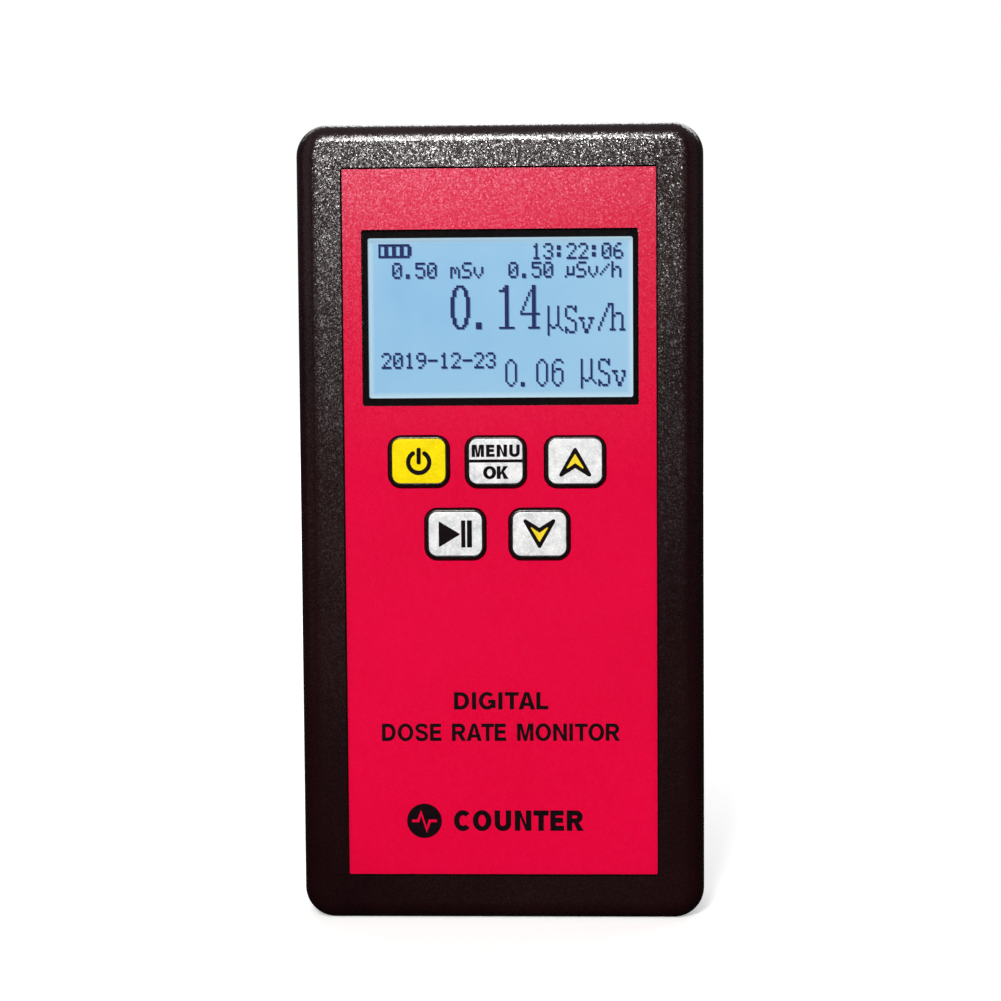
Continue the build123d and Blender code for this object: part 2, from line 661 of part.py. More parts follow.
with BuildPart() as gm_end_caps:
    for z0, z1, c0, c1 in (
        (TUBE_Z0 - 0.8, TUBE_Z0 + 6.0, TUBE_Z0, TUBE_Z0 + 6.1),
        (TUBE_Z1 - 6.0, TUBE_Z1 + 0.8, TUBE_Z1 - 6.1, TUBE_Z1),
    ):
        with BuildSketch(Plane.XY.offset(z0)):
            with Locations((TUBE_X, TUBE_Y)):
                Circle(TUBE_R + 0.4)
        extrude(amount=z1 - z0)
        with BuildSketch(Plane.XY.offset(c0)):
            with Locations((TUBE_X, TUBE_Y)):
                Circle(TUBE_R + 0.03)
        extrude(amount=c1 - c0, mode=Mode.SUBTRACT)
gm_end_caps.part.label = "gm_end_caps"
export_step(gm_end_caps.part, "parts/gm_end_caps.step")

with BuildPart() as tube_clips:
    for z0 in (TUBE_Z0 + 0.5, TUBE_Z1 - 5.0):
        with BuildSketch(Plane.XY.offset(z0)):
            with Locations((TUBE_X, TUBE_Y)):
                Circle(TUBE_R + 0.92)
            with Locations((TUBE_X, (PCB_BACK + TUBE_Y - TUBE_R) / 2)):
                Rectangle(5.0, TUBE_Y - TUBE_R - PCB_BACK)
            with Locations((TUBE_X, TUBE_Y)):
                Circle(TUBE_R + 0.42, mode=Mode.SUBTRACT)
            with Locations((TUBE_X, TUBE_Y + 5.2)):
                Rectangle(8.0, 5.0, mode=Mode.SUBTRACT)
        extrude(amount=4.5)
tube_clips.part.label = "tube_clips"
export_step(tube_clips.part, "parts/tube_clips.step")

# --------------------------------------------------- cells and their contacts
with BuildPart() as batteries:
    for cx, low, up in ((CELL_X[0], CELL_LOW, True), (CELL_X[1], CELL_HIGH - CELL_LEN - 5.0, False), (CELL_X[2], CELL_LOW, True)):
        body_z = low if up else low + 0.8
        with BuildSketch(Plane.XY.offset(body_z)):
            with Locations((cx, CELL_Y)):
                Circle(CELL_R)
        extrude(amount=CELL_LEN - 0.8)
    fillet(batteries.edges().filter_by(GeomType.CIRCLE), 0.5)
    for cx, nub_z in ((CELL_X[0], CELL_HIGH - 1.0), (CELL_X[1], CELL_HIGH - CELL_LEN - 5.0), (CELL_X[2], CELL_HIGH - 1.0)):
        with BuildSketch(Plane.XY.offset(nub_z)):
            with Locations((cx, CELL_Y)):
                Circle(1.9)
        extrude(amount=1.0)
batteries.part.label = "batteries"
export_step(batteries.part, "parts/batteries.step")

with BuildPart() as battery_contacts:
    # flat plates at both ends, two of them bridging neighbouring cells
    for px, pw, pz in ((-11.0, 9.0, 13.6), (6.0, 19.0, 13.6), (-6.0, 19.0, 63.5), (11.0, 9.0, 63.5)):
        with BuildSketch(Plane.XY.offset(pz)):
            with Locations((px, 5.6)):
                Rectangle(pw, 7.6)
        extrude(amount=PLATE_T)
    # solder tails through the bay's end walls
    with BuildSketch(Plane.XY.offset(9.6)):
        with Locations((-11, 3.0)):
            Rectangle(3.0, 0.4)
    extrude(amount=4.2)
    with BuildSketch(Plane.XY.offset(63.7)):
        with Locations((11, 3.0)):
            Rectangle(3.0, 0.4)
    extrude(amount=4.3)
battery_contacts.part.label = "battery_contacts"
export_step(battery_contacts.part, "parts/battery_contacts.step")

SPRING_WIRE = 0.3        # wire radius
SPRING_STEPS = 20        # sixths of a turn in each conical spring
with BuildPart() as battery_springs:
    for sx, sz, sdir in ((CELL_X[0], 14.0, 1), (CELL_X[2], 14.0, 1), (CELL_X[1], 63.5, -1)):
        turns = []
        for i in range(SPRING_STEPS + 1):
            spoke = Vector(3.7 - 0.055 * i, 0, 0).rotate(Axis.Z, 60 * i)
            turns.append((sx + spoke.X, CELL_Y + spoke.Y, sz + sdir * (SPRING_WIRE + 0.05 + 0.21 * i)))
        with BuildLine():
            coil = FilletPolyline(*turns, radius=2.2)
        with BuildSketch(Plane(coil @ 0, z_dir=coil % 0)):
            Circle(SPRING_WIRE)
        sweep(path=coil)
battery_springs.part.label = "battery_springs"
export_step(battery_springs.part, "parts/battery_springs.step")

with BuildPart() as battery_connector:
    with BuildSketch(at(PCB_BACK + 5.0)):
        with Locations((-3.5, 72.5)):
            RectangleRounded(7.5, 5.0, 0.5)
    extrude(amount=5.0)
battery_connector.part.label = "battery_connector"
export_step(battery_connector.part, "parts/battery_connector.step")

LEAD_R = 0.6
with BuildPart() as lead_black:
    with BuildLine():
        black_path = FilletPolyline(
            (-12.5, 3.0, 10.3), (-21.9, 3.0, 10.3), (-21.9, 3.0, 68.4), (-5.0, 3.0, 68.4), (-5.0, 3.0, 72.5), (-5.0, 1.2, 72.5),
            radius=[2.4, 2.4, 1.8, 1.5],
        )
    with BuildSketch(Plane(black_path @ 0, z_dir=black_path % 0)):
        Circle(LEAD_R)
    sweep(path=black_path)
lead_black.part.label = "lead_black"
export_step(lead_black.part, "parts/lead_black.step")

with BuildPart() as lead_red:
    with BuildLine():
        red_path = FilletPolyline(
            (9.5, 3.0, 67.3), (-2.0, 3.0, 67.3), (-2.0, 3.0, 72.5), (-2.0, 1.2, 72.5),
            radius=[2.5, 1.5],
        )
    with BuildSketch(Plane(red_path @ 0, z_dir=red_path % 0)):
        Circle(LEAD_R)
    sweep(path=red_path)
lead_red.part.label = "lead_red"
export_step(lead_red.part, "parts/lead_red.step")
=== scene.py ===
import math
import bmesh
import bpy
from mathutils import Matrix, Vector


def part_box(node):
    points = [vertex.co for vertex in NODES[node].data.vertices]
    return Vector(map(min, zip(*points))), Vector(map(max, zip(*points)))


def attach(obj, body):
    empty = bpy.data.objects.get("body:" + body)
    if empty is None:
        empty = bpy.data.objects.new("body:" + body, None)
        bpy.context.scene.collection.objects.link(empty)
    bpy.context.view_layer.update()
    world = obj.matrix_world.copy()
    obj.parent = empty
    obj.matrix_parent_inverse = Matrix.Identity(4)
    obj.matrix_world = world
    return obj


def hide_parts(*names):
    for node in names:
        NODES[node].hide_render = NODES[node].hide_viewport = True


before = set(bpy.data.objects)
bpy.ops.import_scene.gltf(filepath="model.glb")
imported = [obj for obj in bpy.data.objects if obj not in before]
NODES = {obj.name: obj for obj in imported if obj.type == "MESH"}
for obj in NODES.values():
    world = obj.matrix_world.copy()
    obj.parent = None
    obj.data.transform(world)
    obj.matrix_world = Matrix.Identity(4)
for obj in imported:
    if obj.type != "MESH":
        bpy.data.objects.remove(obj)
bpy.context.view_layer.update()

scene = bpy.context.scene
scene.view_settings.view_transform = "Standard"
scene.view_settings.look = "None"
scene.view_settings.exposure = 0.0
scene.view_settings.gamma = 1.0

MM = 0.001


def lin(r, g, b):
    """sRGB 0..255 to linear, with alpha."""
    out = []
    for c in (r, g, b):
        c = c / 255.0
        out.append(c / 12.92 if c <= 0.04045 else ((c + 0.055) / 1.055) ** 2.4)
    return (*out, 1.0)


# ------------------------------------------------------------------ camera
def make_camera():
    az, el, roll = math.radians(2.275), math.radians(4.303), math.radians(-0.414)
    target = Vector((-0.671, 0.0, 78.745)) * MM
    back = Vector((math.sin(az) * math.cos(el), -math.cos(az) * math.cos(el), math.sin(el)))
    right = Vector((0, 0, 1)).cross(back).normalized()
    up = back.cross(right)
    c, s = math.cos(roll), math.sin(roll)
    r2 = right * c + up * s
    u2 = right * -s + up * c
    cam = bpy.data.cameras.new("camera")
    cam.lens, cam.sensor_width, cam.sensor_fit = 89.51, 36.0, "HORIZONTAL"
    cam.clip_start, cam.clip_end = 0.01, 60.0
    ob = bpy.data.objects.new("camera", cam)
    m = Matrix((r2, u2, back)).transposed().to_4x4()
    m.translation = target + back * 480.3 * MM
    ob.matrix_world = m
    scene.collection.objects.link(ob)
    scene.camera = ob
    return ob


make_camera()


# --------------------------------------------------------- node tree helpers
class Mat:
    """A node material on a Principled shader, with textures in the object's own metres."""

    def __init__(self, name):
        self.mat = bpy.data.materials.new(name)
        self.mat.use_nodes = True
        self.nt = self.mat.node_tree
        self.nt.nodes.clear()
        self.out = self.add("ShaderNodeOutputMaterial")
        self.bsdf = self.add("ShaderNodeBsdfPrincipled")
        self.link(self.bsdf.outputs["BSDF"], self.out.inputs["Surface"])
        self.coord = self.add("ShaderNodeTexCoord").outputs["Object"]

    def add(self, kind):
        return self.nt.nodes.new(kind)

    def link(self, a, b):
        self.nt.links.new(a, b)

    def put(self, value, socket):
        if isinstance(value, bpy.types.NodeSocket):
            self.link(value, socket)
        else:
            socket.default_value = value

    def set(self, **kw):
        names = {
            "color": "Base Color", "rough": "Roughness", "metal": "Metallic", "spec": "Specular IOR Level",
            "coat": "Coat Weight", "coat_rough": "Coat Roughness", "normal": "Normal", "alpha": "Alpha",
            "emit": "Emission Color", "emit_strength": "Emission Strength", "sheen": "Sheen Weight",
            "trans": "Transmission Weight", "ior": "IOR", "sss": "Subsurface Weight", "coat_normal": "Coat Normal",
        }
        for k, v in kw.items():
            self.put(v, self.bsdf.inputs[names[k]])
        return self

    def scaled(self, sx, sy, sz, vec=None):
        n = self.add("ShaderNodeMapping")
        n.inputs["Scale"].default_value = (sx, sy, sz)
        self.link(vec or self.coord, n.inputs["Vector"])
        return n.outputs["Vector"]

    def noise(self, per_m, detail=3.0, rough=0.55, vec=None):
        n = self.add("ShaderNodeTexNoise")
        n.inputs["Scale"].default_value = per_m
        n.inputs["Detail"].default_value = detail
        n.inputs["Roughness"].default_value = rough
        self.link(vec or self.coord, n.inputs["Vector"])
        return n.outputs["Fac"]

    def voronoi(self, per_m, feature="F1", vec=None, output="Distance"):
        n = self.add("ShaderNodeTexVoronoi")
        n.feature = feature
        n.inputs["Scale"].default_value = per_m
        self.link(vec or self.coord, n.inputs["Vector"])
        return n.outputs[output]

    def math(self, op, a, b=0.0, c=0.0, clamp=False):
        n = self.add("ShaderNodeMath")
        n.operation = op
        n.use_clamp = clamp
        self.put(a, n.inputs[0])
        self.put(b, n.inputs[1])
        self.put(c, n.inputs[2])
        return n.outputs[0]

    def ramp(self, fac, stops, interpolation="LINEAR"):
        n = self.add("ShaderNodeValToRGB")
        n.color_ramp.interpolation = interpolation
        e = n.color_ramp.elements
        while len(e) > 1:
            e.remove(e[0])
        for i, (pos, col) in enumerate(stops):
            if not isinstance(col, (tuple, list)):
                col = (col, col, col, 1.0)
            el = e[0] if i == 0 else e.new(pos)
            el.position = pos
            el.color = col
        self.link(fac, n.inputs["Fac"])
        return n.outputs["Color"]

    def mix(self, fac, a, b, blend="MIX"):
        n = self.add("ShaderNodeMix")
        n.data_type = "RGBA"
        n.blend_type = blend
        n.clamp_factor = True
        self.put(fac, n.inputs[0])
        self.put(a, n.inputs[6])
        self.put(b, n.inputs[7])
        return n.outputs[2]

    def maprange(self, v, a0, a1, b0, b1):
        n = self.add("ShaderNodeMapRange")
        n.clamp = True
        self.put(v, n.inputs["Value"])
        for key, x in (("From Min", a0), ("From Max", a1), ("To Min", b0), ("To Max", b1)):
            self.put(x, n.inputs[key])
        return n.outputs["Result"]

    def bump(self, height, distance, strength=1.0, normal=None):
        n = self.add("ShaderNodeBump")
        n.inputs["Strength"].default_value = strength
        n.inputs["Distance"].default_value = distance
        self.link(height, n.inputs["Height"])
        if normal is not None:
            self.link(normal, n.inputs["Normal"])
        return n.outputs["Normal"]

    def facets(self, per_m, tilt, normal=None):
        """Normal turned a little, at random, in each grain of a cell pattern; also gives each grain a random value."""
        v = self.add("ShaderNodeTexVoronoi")
        v.inputs["Scale"].default_value = per_m
        self.link(self.coord, v.inputs["Vector"])
        off = self.add("ShaderNodeVectorMath")
        off.operation = "SUBTRACT"
        self.link(v.outputs["Color"], off.inputs[0])
        off.inputs[1].default_value = (0.5, 0.5, 0.5)
        k = self.add("ShaderNodeVectorMath")
        k.operation = "SCALE"
        self.link(off.outputs[0], k.inputs[0])
        self.put(tilt, k.inputs["Scale"])
        if normal is None:
            normal = self.add("ShaderNodeNewGeometry").outputs["Normal"]
        add = self.add("ShaderNodeVectorMath")
        add.operation = "ADD"
        self.link(normal, add.inputs[0])
        self.link(k.outputs[0], add.inputs[1])
        nrm = self.add("ShaderNodeVectorMath")
        nrm.operation = "NORMALIZE"
        self.link(add.outputs[0], nrm.inputs[0])
        pick = self.add("ShaderNodeTexWhiteNoise")
        pick.noise_dimensions = "3D"
        self.link(v.outputs["Color"], pick.inputs["Vector"])
        return nrm.outputs[0], pick.outputs["Value"]

    def xyz(self, vec=None):
        n = self.add("ShaderNodeSeparateXYZ")
        self.link(vec or self.coord, n.inputs[0])
        return n.outputs[0], n.outputs[1], n.outputs[2]


def moulded(name, dark, light, rough=0.45, grain=2600.0, depth=3.0e-5, spec=0.5, blotch=60.0):
    """Moulded plastic: slight colour drift, uneven gloss, a fine eroded grain."""
    m = Mat(name)
    drift = m.noise(blotch, 4.0, 0.6)
    col = m.mix(m.maprange(drift, 0.3, 0.7, 0.0, 1.0), dark, light)
    pits = m.voronoi(grain)
    fine = m.noise(grain * 2.2, 2.0, 0.6)
    rg = m.maprange(m.noise(grain * 0.5, 3.0, 0.6), 0.3, 0.7, rough - 0.07, rough + 0.1)
    n1 = m.bump(pits, depth, 1.0)
    n2 = m.bump(fine, depth * 0.5, 1.0, n1)
    m.set(color=col, rough=rg, spec=spec, normal=n2)
    return m


def metal(name, col, rough=0.25, brushed=(1, 1, 1), scale=4000.0, depth=4.0e-6):
    m = Mat(name)
    v = m.scaled(*brushed)
    streak = m.noise(scale, 4.0, 0.65, v)
    tone = m.mix(m.maprange(m.noise(120.0, 4.0, 0.6), 0.3, 0.7, 0, 1), tuple(c * 0.8 for c in col[:3]) + (1,), col)
    m.set(color=tone, metal=1.0, rough=m.maprange(streak, 0.3, 0.7, rough - 0.08, rough + 0.12),
          normal=m.bump(streak, depth))
    return m


def assign(obj, m):
    me = obj.data
    mat = m.mat if isinstance(m, Mat) else m
    if not me.materials:
        me.materials.append(mat)
    for i in range(len(me.materials)):
        me.materials[i] = mat


# ----------------------------------------------------------------- materials
# Case: spark-eroded black ABS.  Coarse shiny pits about 0.35 mm apart.
def case_material(name="case_spark_black", front=True):
    """Spark-eroded black plastic; the front shell's flanks roll off gently and its lower half is worn dull."""
    m = Mat(name)
    x, y, z = m.xyz()
    drift = m.noise(45.0, 4.0, 0.6)
    grain = m.noise(1900.0, 2.0, 0.6)
    fine = m.noise(5200.0, 2.0, 0.6)
    if front:
        col = m.mix(m.maprange(drift, 0.3, 0.7, 0.0, 1.0), lin(19, 5, 7), lin(27, 8, 10))
        flank = m.maprange(y, -0.0102, -0.0080, 0.0, 1.0)      # the flanks share the rear shell's matt finish
        col = m.mix(flank, col, m.mix(m.maprange(drift, 0.3, 0.7, 0.0, 1.0), lin(22, 14, 15), lin(30, 21, 22)))
        d1 = m.math("MAXIMUM", m.math("SUBTRACT", m.math("ABSOLUTE", x), 0.0338), 0.0)
        d2 = m.math("MAXIMUM", m.math("SUBTRACT", m.math("ABSOLUTE", x), 0.0353), 0.0)
        roll = m.math("MULTIPLY", m.math("SUBTRACT", m.math("MULTIPLY", d2, d2), m.math("MULTIPLY", d1, d1)), 90.0)
        n0 = m.bump(roll, 1.0, 1.0)
        n0 = m.bump(m.math("ADD", grain, m.math("MULTIPLY", fine, 0.2)), 0.8e-5, 1.0, n0)
        n1, pick = m.facets(4700.0, 0.18, n0)
        rub = m.maprange(m.noise(28.0, 5.0, 0.65), 0.35, 0.75, -0.02, 0.05)
        rg = m.math("ADD", m.maprange(pick, 0.0, 1.0, 0.18, 0.29), m.math("ADD", rub, m.math("MULTIPLY", flank, 0.21)))
        face = m.maprange(y, -0.0132, -0.0105, 1.0, 0.0)
        worn = m.math("MULTIPLY", face, m.maprange(z, 0.02, 0.125, 0.55, 0.0))
        worn = m.math("ADD", worn, m.math("MULTIPLY", face, m.maprange(m.math("ABSOLUTE", x), 0.022, 0.037, 0.0, 0.30)))
        spec = m.math("MULTIPLY", m.maprange(pick, 0.0, 1.0, 1.0, 0.46), m.math("MAXIMUM", m.math("SUBTRACT", 1.0, worn), 0.2))
    else:
        col = m.mix(m.maprange(drift, 0.3, 0.7, 0.0, 1.0), lin(22, 14, 15), lin(30, 21, 22))
        n0 = m.bump(m.math("ADD", grain, m.math("MULTIPLY", fine, 0.3)), 1.4e-5, 1.0)
        n1, pick = m.facets(3300.0, 0.20, n0)
        rub = m.maprange(m.noise(28.0, 5.0, 0.65), 0.35, 0.75, -0.04, 0.08)
        rg = m.math("ADD", m.maprange(pick, 0.0, 1.0, 0.38, 0.52), rub)
        spec = m.maprange(pick, 0.0, 1.0, 0.85, 0.35)
    m.set(color=col, rough=rg, spec=spec, normal=n1)
    return m


CASE = case_material()
CASE_REAR = case_material("case_rear_matt_black", False)


def label_material():
    """Crimson velvet polycarbonate film, printed from behind, with painted shade that darkens it towards the top."""
    m = Mat("label_crimson_film")
    x, y, z = m.xyz()
    drift = m.noise(35.0, 4.0, 0.6)
    speck = m.noise(1700.0, 2.0, 0.6)
    col = m.mix(m.maprange(drift, 0.3, 0.7, 0.0, 1.0), lin(204, 0, 49), lin(210, 0, 54))
    col = m.mix(m.math("MULTIPLY", m.maprange(speck, 0.45, 0.75, 0.0, 1.0), 0.08), col, lin(240, 20, 80))
    # painted shade: the film's colour is darkened towards the top, where the light falls strongest
    col = m.mix(m.maprange(z, 0.02, 0.14, 0.0, 0.32), col, lin(120, 0, 30))
    velvet = m.noise(2400.0, 3.0, 0.6)
    n0 = m.bump(velvet, 1.0e-5, 1.0)
    n1, pick = m.facets(4500.0, 0.095, n0)
    worn = m.maprange(z, 0.085, 0.138, 0.22, 1.12)
    m.set(color=col, rough=m.maprange(pick, 0.0, 1.0, 0.22, 0.30),
          spec=m.math("MULTIPLY", m.maprange(pick, 0.0, 1.0, 0.64, 0.36), worn), normal=n1)
    m.bsdf.inputs["Specular Tint"].default_value = (1.0, 0.80, 1.0, 1.0)
    return m


LABEL = label_material()
INK = Mat("printed_ink")
INK.set(color=INK.mix(INK.maprange(INK.noise(2400.0, 3.0), 0.35, 0.7, 0, 1), lin(8, 3, 6), lin(20, 10, 15)),
        rough=0.5, spec=0.04, normal=INK.bump(INK.noise(3000.0, 2.0), 8.0e-6))
RIM = Mat("key_rim_black")
RIM.set(color=RIM.mix(RIM.maprange(RIM.noise(500.0, 3.0), 0.35, 0.7, 0, 1), lin(7, 4, 5), lin(16, 11, 13)),
        rough=RIM.maprange(RIM.noise(1500.0, 2.0), 0.3, 0.7, 0.22, 0.38), spec=0.30,
        normal=RIM.bump(RIM.noise(1900.0, 3.0), 1.6e-5))


def key_material(name, base, deep, fleck, spec=0.5, coat=0.35):
    m = Mat(name)
    drift = m.noise(420.0, 4.0, 0.65)
    col = m.mix(m.maprange(drift, 0.35, 0.7, 0.0, 1.0), base, deep)
    flecks = m.voronoi(3400.0, output="Color")
    fx = m.xyz(flecks)[0]
    col = m.mix(m.math("MULTIPLY", m.maprange(fx, 0.6, 1.0, 0.0, 1.0), 0.5), col, fleck)
    n1 = m.bump(m.noise(1700.0, 3.0, 0.6), 1.6e-5)
    m.set(color=col, rough=m.maprange(m.noise(1300.0, 3.0), 0.3, 0.7, 0.28, 0.44), spec=spec,
          coat=coat, coat_rough=0.22, normal=n1)
    return m


KEY_SILVER = key_material("key_silver_film", lin(214, 215, 216), lin(176, 179, 182), lin(236, 236, 236))
# painted highlight: a lighter copy of the silver film, made for the face's edge where it catches the light; no object
# uses it
KEY_EDGE_HIGHLIGHT = key_material("key_film_edge_highlight", lin(236, 237, 238), lin(222, 224, 226), lin(244, 244, 244))
KEY_YELLOW = key_material("key_yellow_film", lin(220, 200, 0), lin(208, 182, 0), lin(234, 216, 10), 0.06, 0.0)
ICON_YELLOW = key_material("icon_yellow_ink", lin(222, 196, 30), lin(206, 178, 14), lin(238, 214, 70), 0.15, 0.06)


def lcd_material():
    """Backlit display: pale blue, brighter towards its edges, with the faint grid of its dots."""
    m = Mat("lcd_backlit_blue")
    x, y, z = m.xyz()
    # distance to the edge of the clear opening
    lo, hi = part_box("lcd_polariser")
    cx, cz = (lo.x + hi.x) / 2, (lo.z + hi.z) / 2
    dx = m.math("SUBTRACT", 0.02475, m.math("ABSOLUTE", m.math("SUBTRACT", x, cx)))
    dz = m.math("SUBTRACT", 0.01495, m.math("ABSOLUTE", m.math("SUBTRACT", z, cz)))
    edge = m.math("MINIMUM", dx, dz)
    glow = m.maprange(edge, 0.0, 0.0011, 1.0, 0.0)
    wide = m.maprange(edge, 0.0, 0.006, 1.0, 0.0)
    u = m.maprange(m.math("ADD", x, m.math("MULTIPLY", z, -0.6)), -0.094, -0.045, 0.0, 1.0)
    base = m.mix(u, lin(136, 190, 230), lin(152, 200, 233))
    cloud = m.noise(90.0, 3.0, 0.5)
    base = m.mix(m.math("MULTIPLY", m.maprange(cloud, 0.35, 0.7, 0, 1), 0.35), base, lin(166, 208, 236))
    base = m.mix(m.math("MULTIPLY", wide, 0.25), base, lin(172, 212, 236))
    base = m.mix(m.math("MULTIPLY", glow, 0.85), base, lin(204, 232, 246))
    # dot grid, 0.364 x 0.433 mm
    gx = m.math("ABSOLUTE", m.math("SUBTRACT", m.math("FRACT", m.math("DIVIDE", m.math("ADD", x, 0.5), 0.000364)), 0.5))
    gz = m.math("ABSOLUTE", m.math("SUBTRACT", m.math("FRACT", m.math("DIVIDE", m.math("ADD", z, 0.5), 0.000433)), 0.5))
    grid = m.maprange(m.math("MAXIMUM", gx, gz), 0.42, 0.47, 0.0, 1.0)
    base = m.mix(m.math("MULTIPLY", grid, 0.10), base, lin(200, 225, 245))
    m.set(color=m.mix(0.94, base, (0.02, 0.04, 0.06, 1.0)), emit=base, emit_strength=0.83, rough=0.3, spec=0.3,
          normal=m.bump(m.noise(2500.0, 2.0), 4.0e-6))
    return m


LCD = lcd_material()


def lcd_dot(name, a, b, glow, strength):
    m = Mat(name)
    m.set(color=m.mix(m.maprange(m.noise(700.0, 2.0), 0.3, 0.7, 0, 1), a, b), rough=0.5, spec=0.1, emit=glow, emit_strength=strength,
          normal=m.bump(m.noise(3000.0, 2.0), 2.0e-6))
    return m


LCD_INK = lcd_dot("lcd_dot_dark", lin(8, 10, 56), lin(12, 16, 70), lin(16, 16, 96), 0.26)
LCD_SHADE = lcd_dot("lcd_dot_shadow", lin(30, 50, 90), lin(40, 60, 100), lin(92, 134, 180), 0.56)


def window_material():
    """Clear hard-coated acrylic pane: passes the picture straight through and only reflects a little."""
    m = Mat("window_clear_acrylic")
    m.nt.nodes.remove(m.bsdf)
    clear = m.add("ShaderNodeBsdfTransparent")
    clear.inputs["Color"].default_value = (0.985, 0.99, 0.99, 1)
    gloss = m.add("ShaderNodeBsdfGlossy")
    gloss.inputs["Color"].default_value = (1, 1, 1, 1)
    m.put(m.maprange(m.noise(60.0, 4.0, 0.6), 0.3, 0.7, 0.03, 0.09), gloss.inputs["Roughness"])
    fres = m.add("ShaderNodeFresnel")
    fres.inputs["IOR"].default_value = 1.4
    mix = m.add("ShaderNodeMixShader")
    n1 = m.bump(m.noise(300.0, 2.0), 2.0e-6)
    m.link(n1, gloss.inputs["Normal"])
    facing = m.add("ShaderNodeNewGeometry").outputs["Backfacing"]
    m.link(m.math("MULTIPLY", fres.outputs[0], m.math("SUBTRACT", 1.0, facing)), mix.inputs["Fac"])
    m.link(clear.outputs[0], mix.inputs[1])
    m.link(gloss.outputs[0], mix.inputs[2])
    m.link(mix.outputs[0], m.out.inputs["Surface"])
    return m


WINDOW = window_material()

BLACK_BORDER = moulded("border_black_film", lin(5, 4, 5), lin(10, 6, 8), 0.55, 2600.0, 6.0e-6, 0.03)
BLACK_SMOOTH = moulded("black_moulding", lin(12, 12, 13), lin(24, 23, 24), 0.38, 2200.0, 1.0e-5)
FOAM = moulded("black_foam", lin(10, 10, 10), lin(24, 24, 24), 0.85, 1700.0, 1.2e-4, 0.2)
WHITE_PLASTIC = moulded("white_nylon", lin(222, 218, 205), lin(236, 233, 224), 0.45, 1800.0, 1.2e-5)
BACKLIGHT = moulded("backlight_diffuser", lin(224, 230, 238), lin(240, 244, 248), 0.35, 1500.0, 6.0e-6)
EPOXY = moulded("dipped_epoxy", lin(140, 66, 20), lin(168, 84, 30), 0.32, 900.0, 2.0e-5)
FERRITE = moulded("sintered_ferrite", lin(34, 34, 37), lin(58, 58, 62), 0.55, 3800.0, 2.0e-5)
CHIP = moulded("chip_epoxy", lin(18, 18, 19), lin(32, 32, 33), 0.5, 5200.0, 1.0e-5)
RED_LEAD = moulded("lead_red_pvc", lin(176, 16, 14), lin(200, 26, 22), 0.4, 2200.0, 6.0e-6)
BLACK_LEAD = moulded("lead_black_pvc", lin(14, 14, 14), lin(26, 26, 26), 0.4, 2200.0, 6.0e-6)
FLEX = moulded("polyimide_film", lin(196, 118, 30), lin(214, 138, 46), 0.3, 1900.0, 4.0e-6)
SCREW = metal("screw_zinc_plated", (0.42, 0.42, 0.43, 1), 0.30, (1, 1, 1), 3000.0, 6.0e-6)
TINNED = metal("tinned_metal", (0.72, 0.72, 0.70, 1), 0.28)
NICKEL = metal("nickel_plate", (0.66, 0.64, 0.60, 1), 0.2)
CATHODE = metal("cathode_film", (0.32, 0.27, 0.22, 1), 0.3, (1, 1, 8))
COPPER = metal("enamelled_copper", (0.72, 0.30, 0.12, 1), 0.25, (0.3, 6, 0.3), 1600.0, 3.0e-5)
CAN = metal("aluminium_can", (0.74, 0.75, 0.77, 1), 0.26, (1, 8, 1))


def pcb_material():
    m = Mat("circuit_board")
    x, y, z = m.xyz()
    g = m.voronoi(260.0, "DISTANCE_TO_EDGE", m.scaled(1, 0.0, 1))
    trace = m.maprange(g, 0.02, 0.035, 1.0, 0.0)
    col = m.mix(trace, lin(12, 82, 40), lin(24, 112, 56))
    dots = m.voronoi(330.0, "F1", m.scaled(1, 0.0, 1))
    pad = m.maprange(dots, 0.12, 0.14, 1.0, 0.0)
    col = m.mix(pad, col, lin(206, 196, 150))
    m.set(color=col, rough=m.maprange(m.noise(900.0, 2.0), 0.3, 0.7, 0.2, 0.36), metal=m.math("MULTIPLY", pad, 0.8),
          normal=m.bump(trace, 1.6e-5))
    return m


PCB = pcb_material()


def glass_material():
    m = Mat("tube_glass")
    m.set(color=(0.9, 0.93, 0.92, 1), rough=m.maprange(m.noise(200.0, 3.0), 0.3, 0.7, 0.03, 0.1), trans=0.9, ior=1.48,
          normal=m.bump(m.noise(120.0, 2.0), 4.0e-6))
    return m


TUBE_GLASS = glass_material()


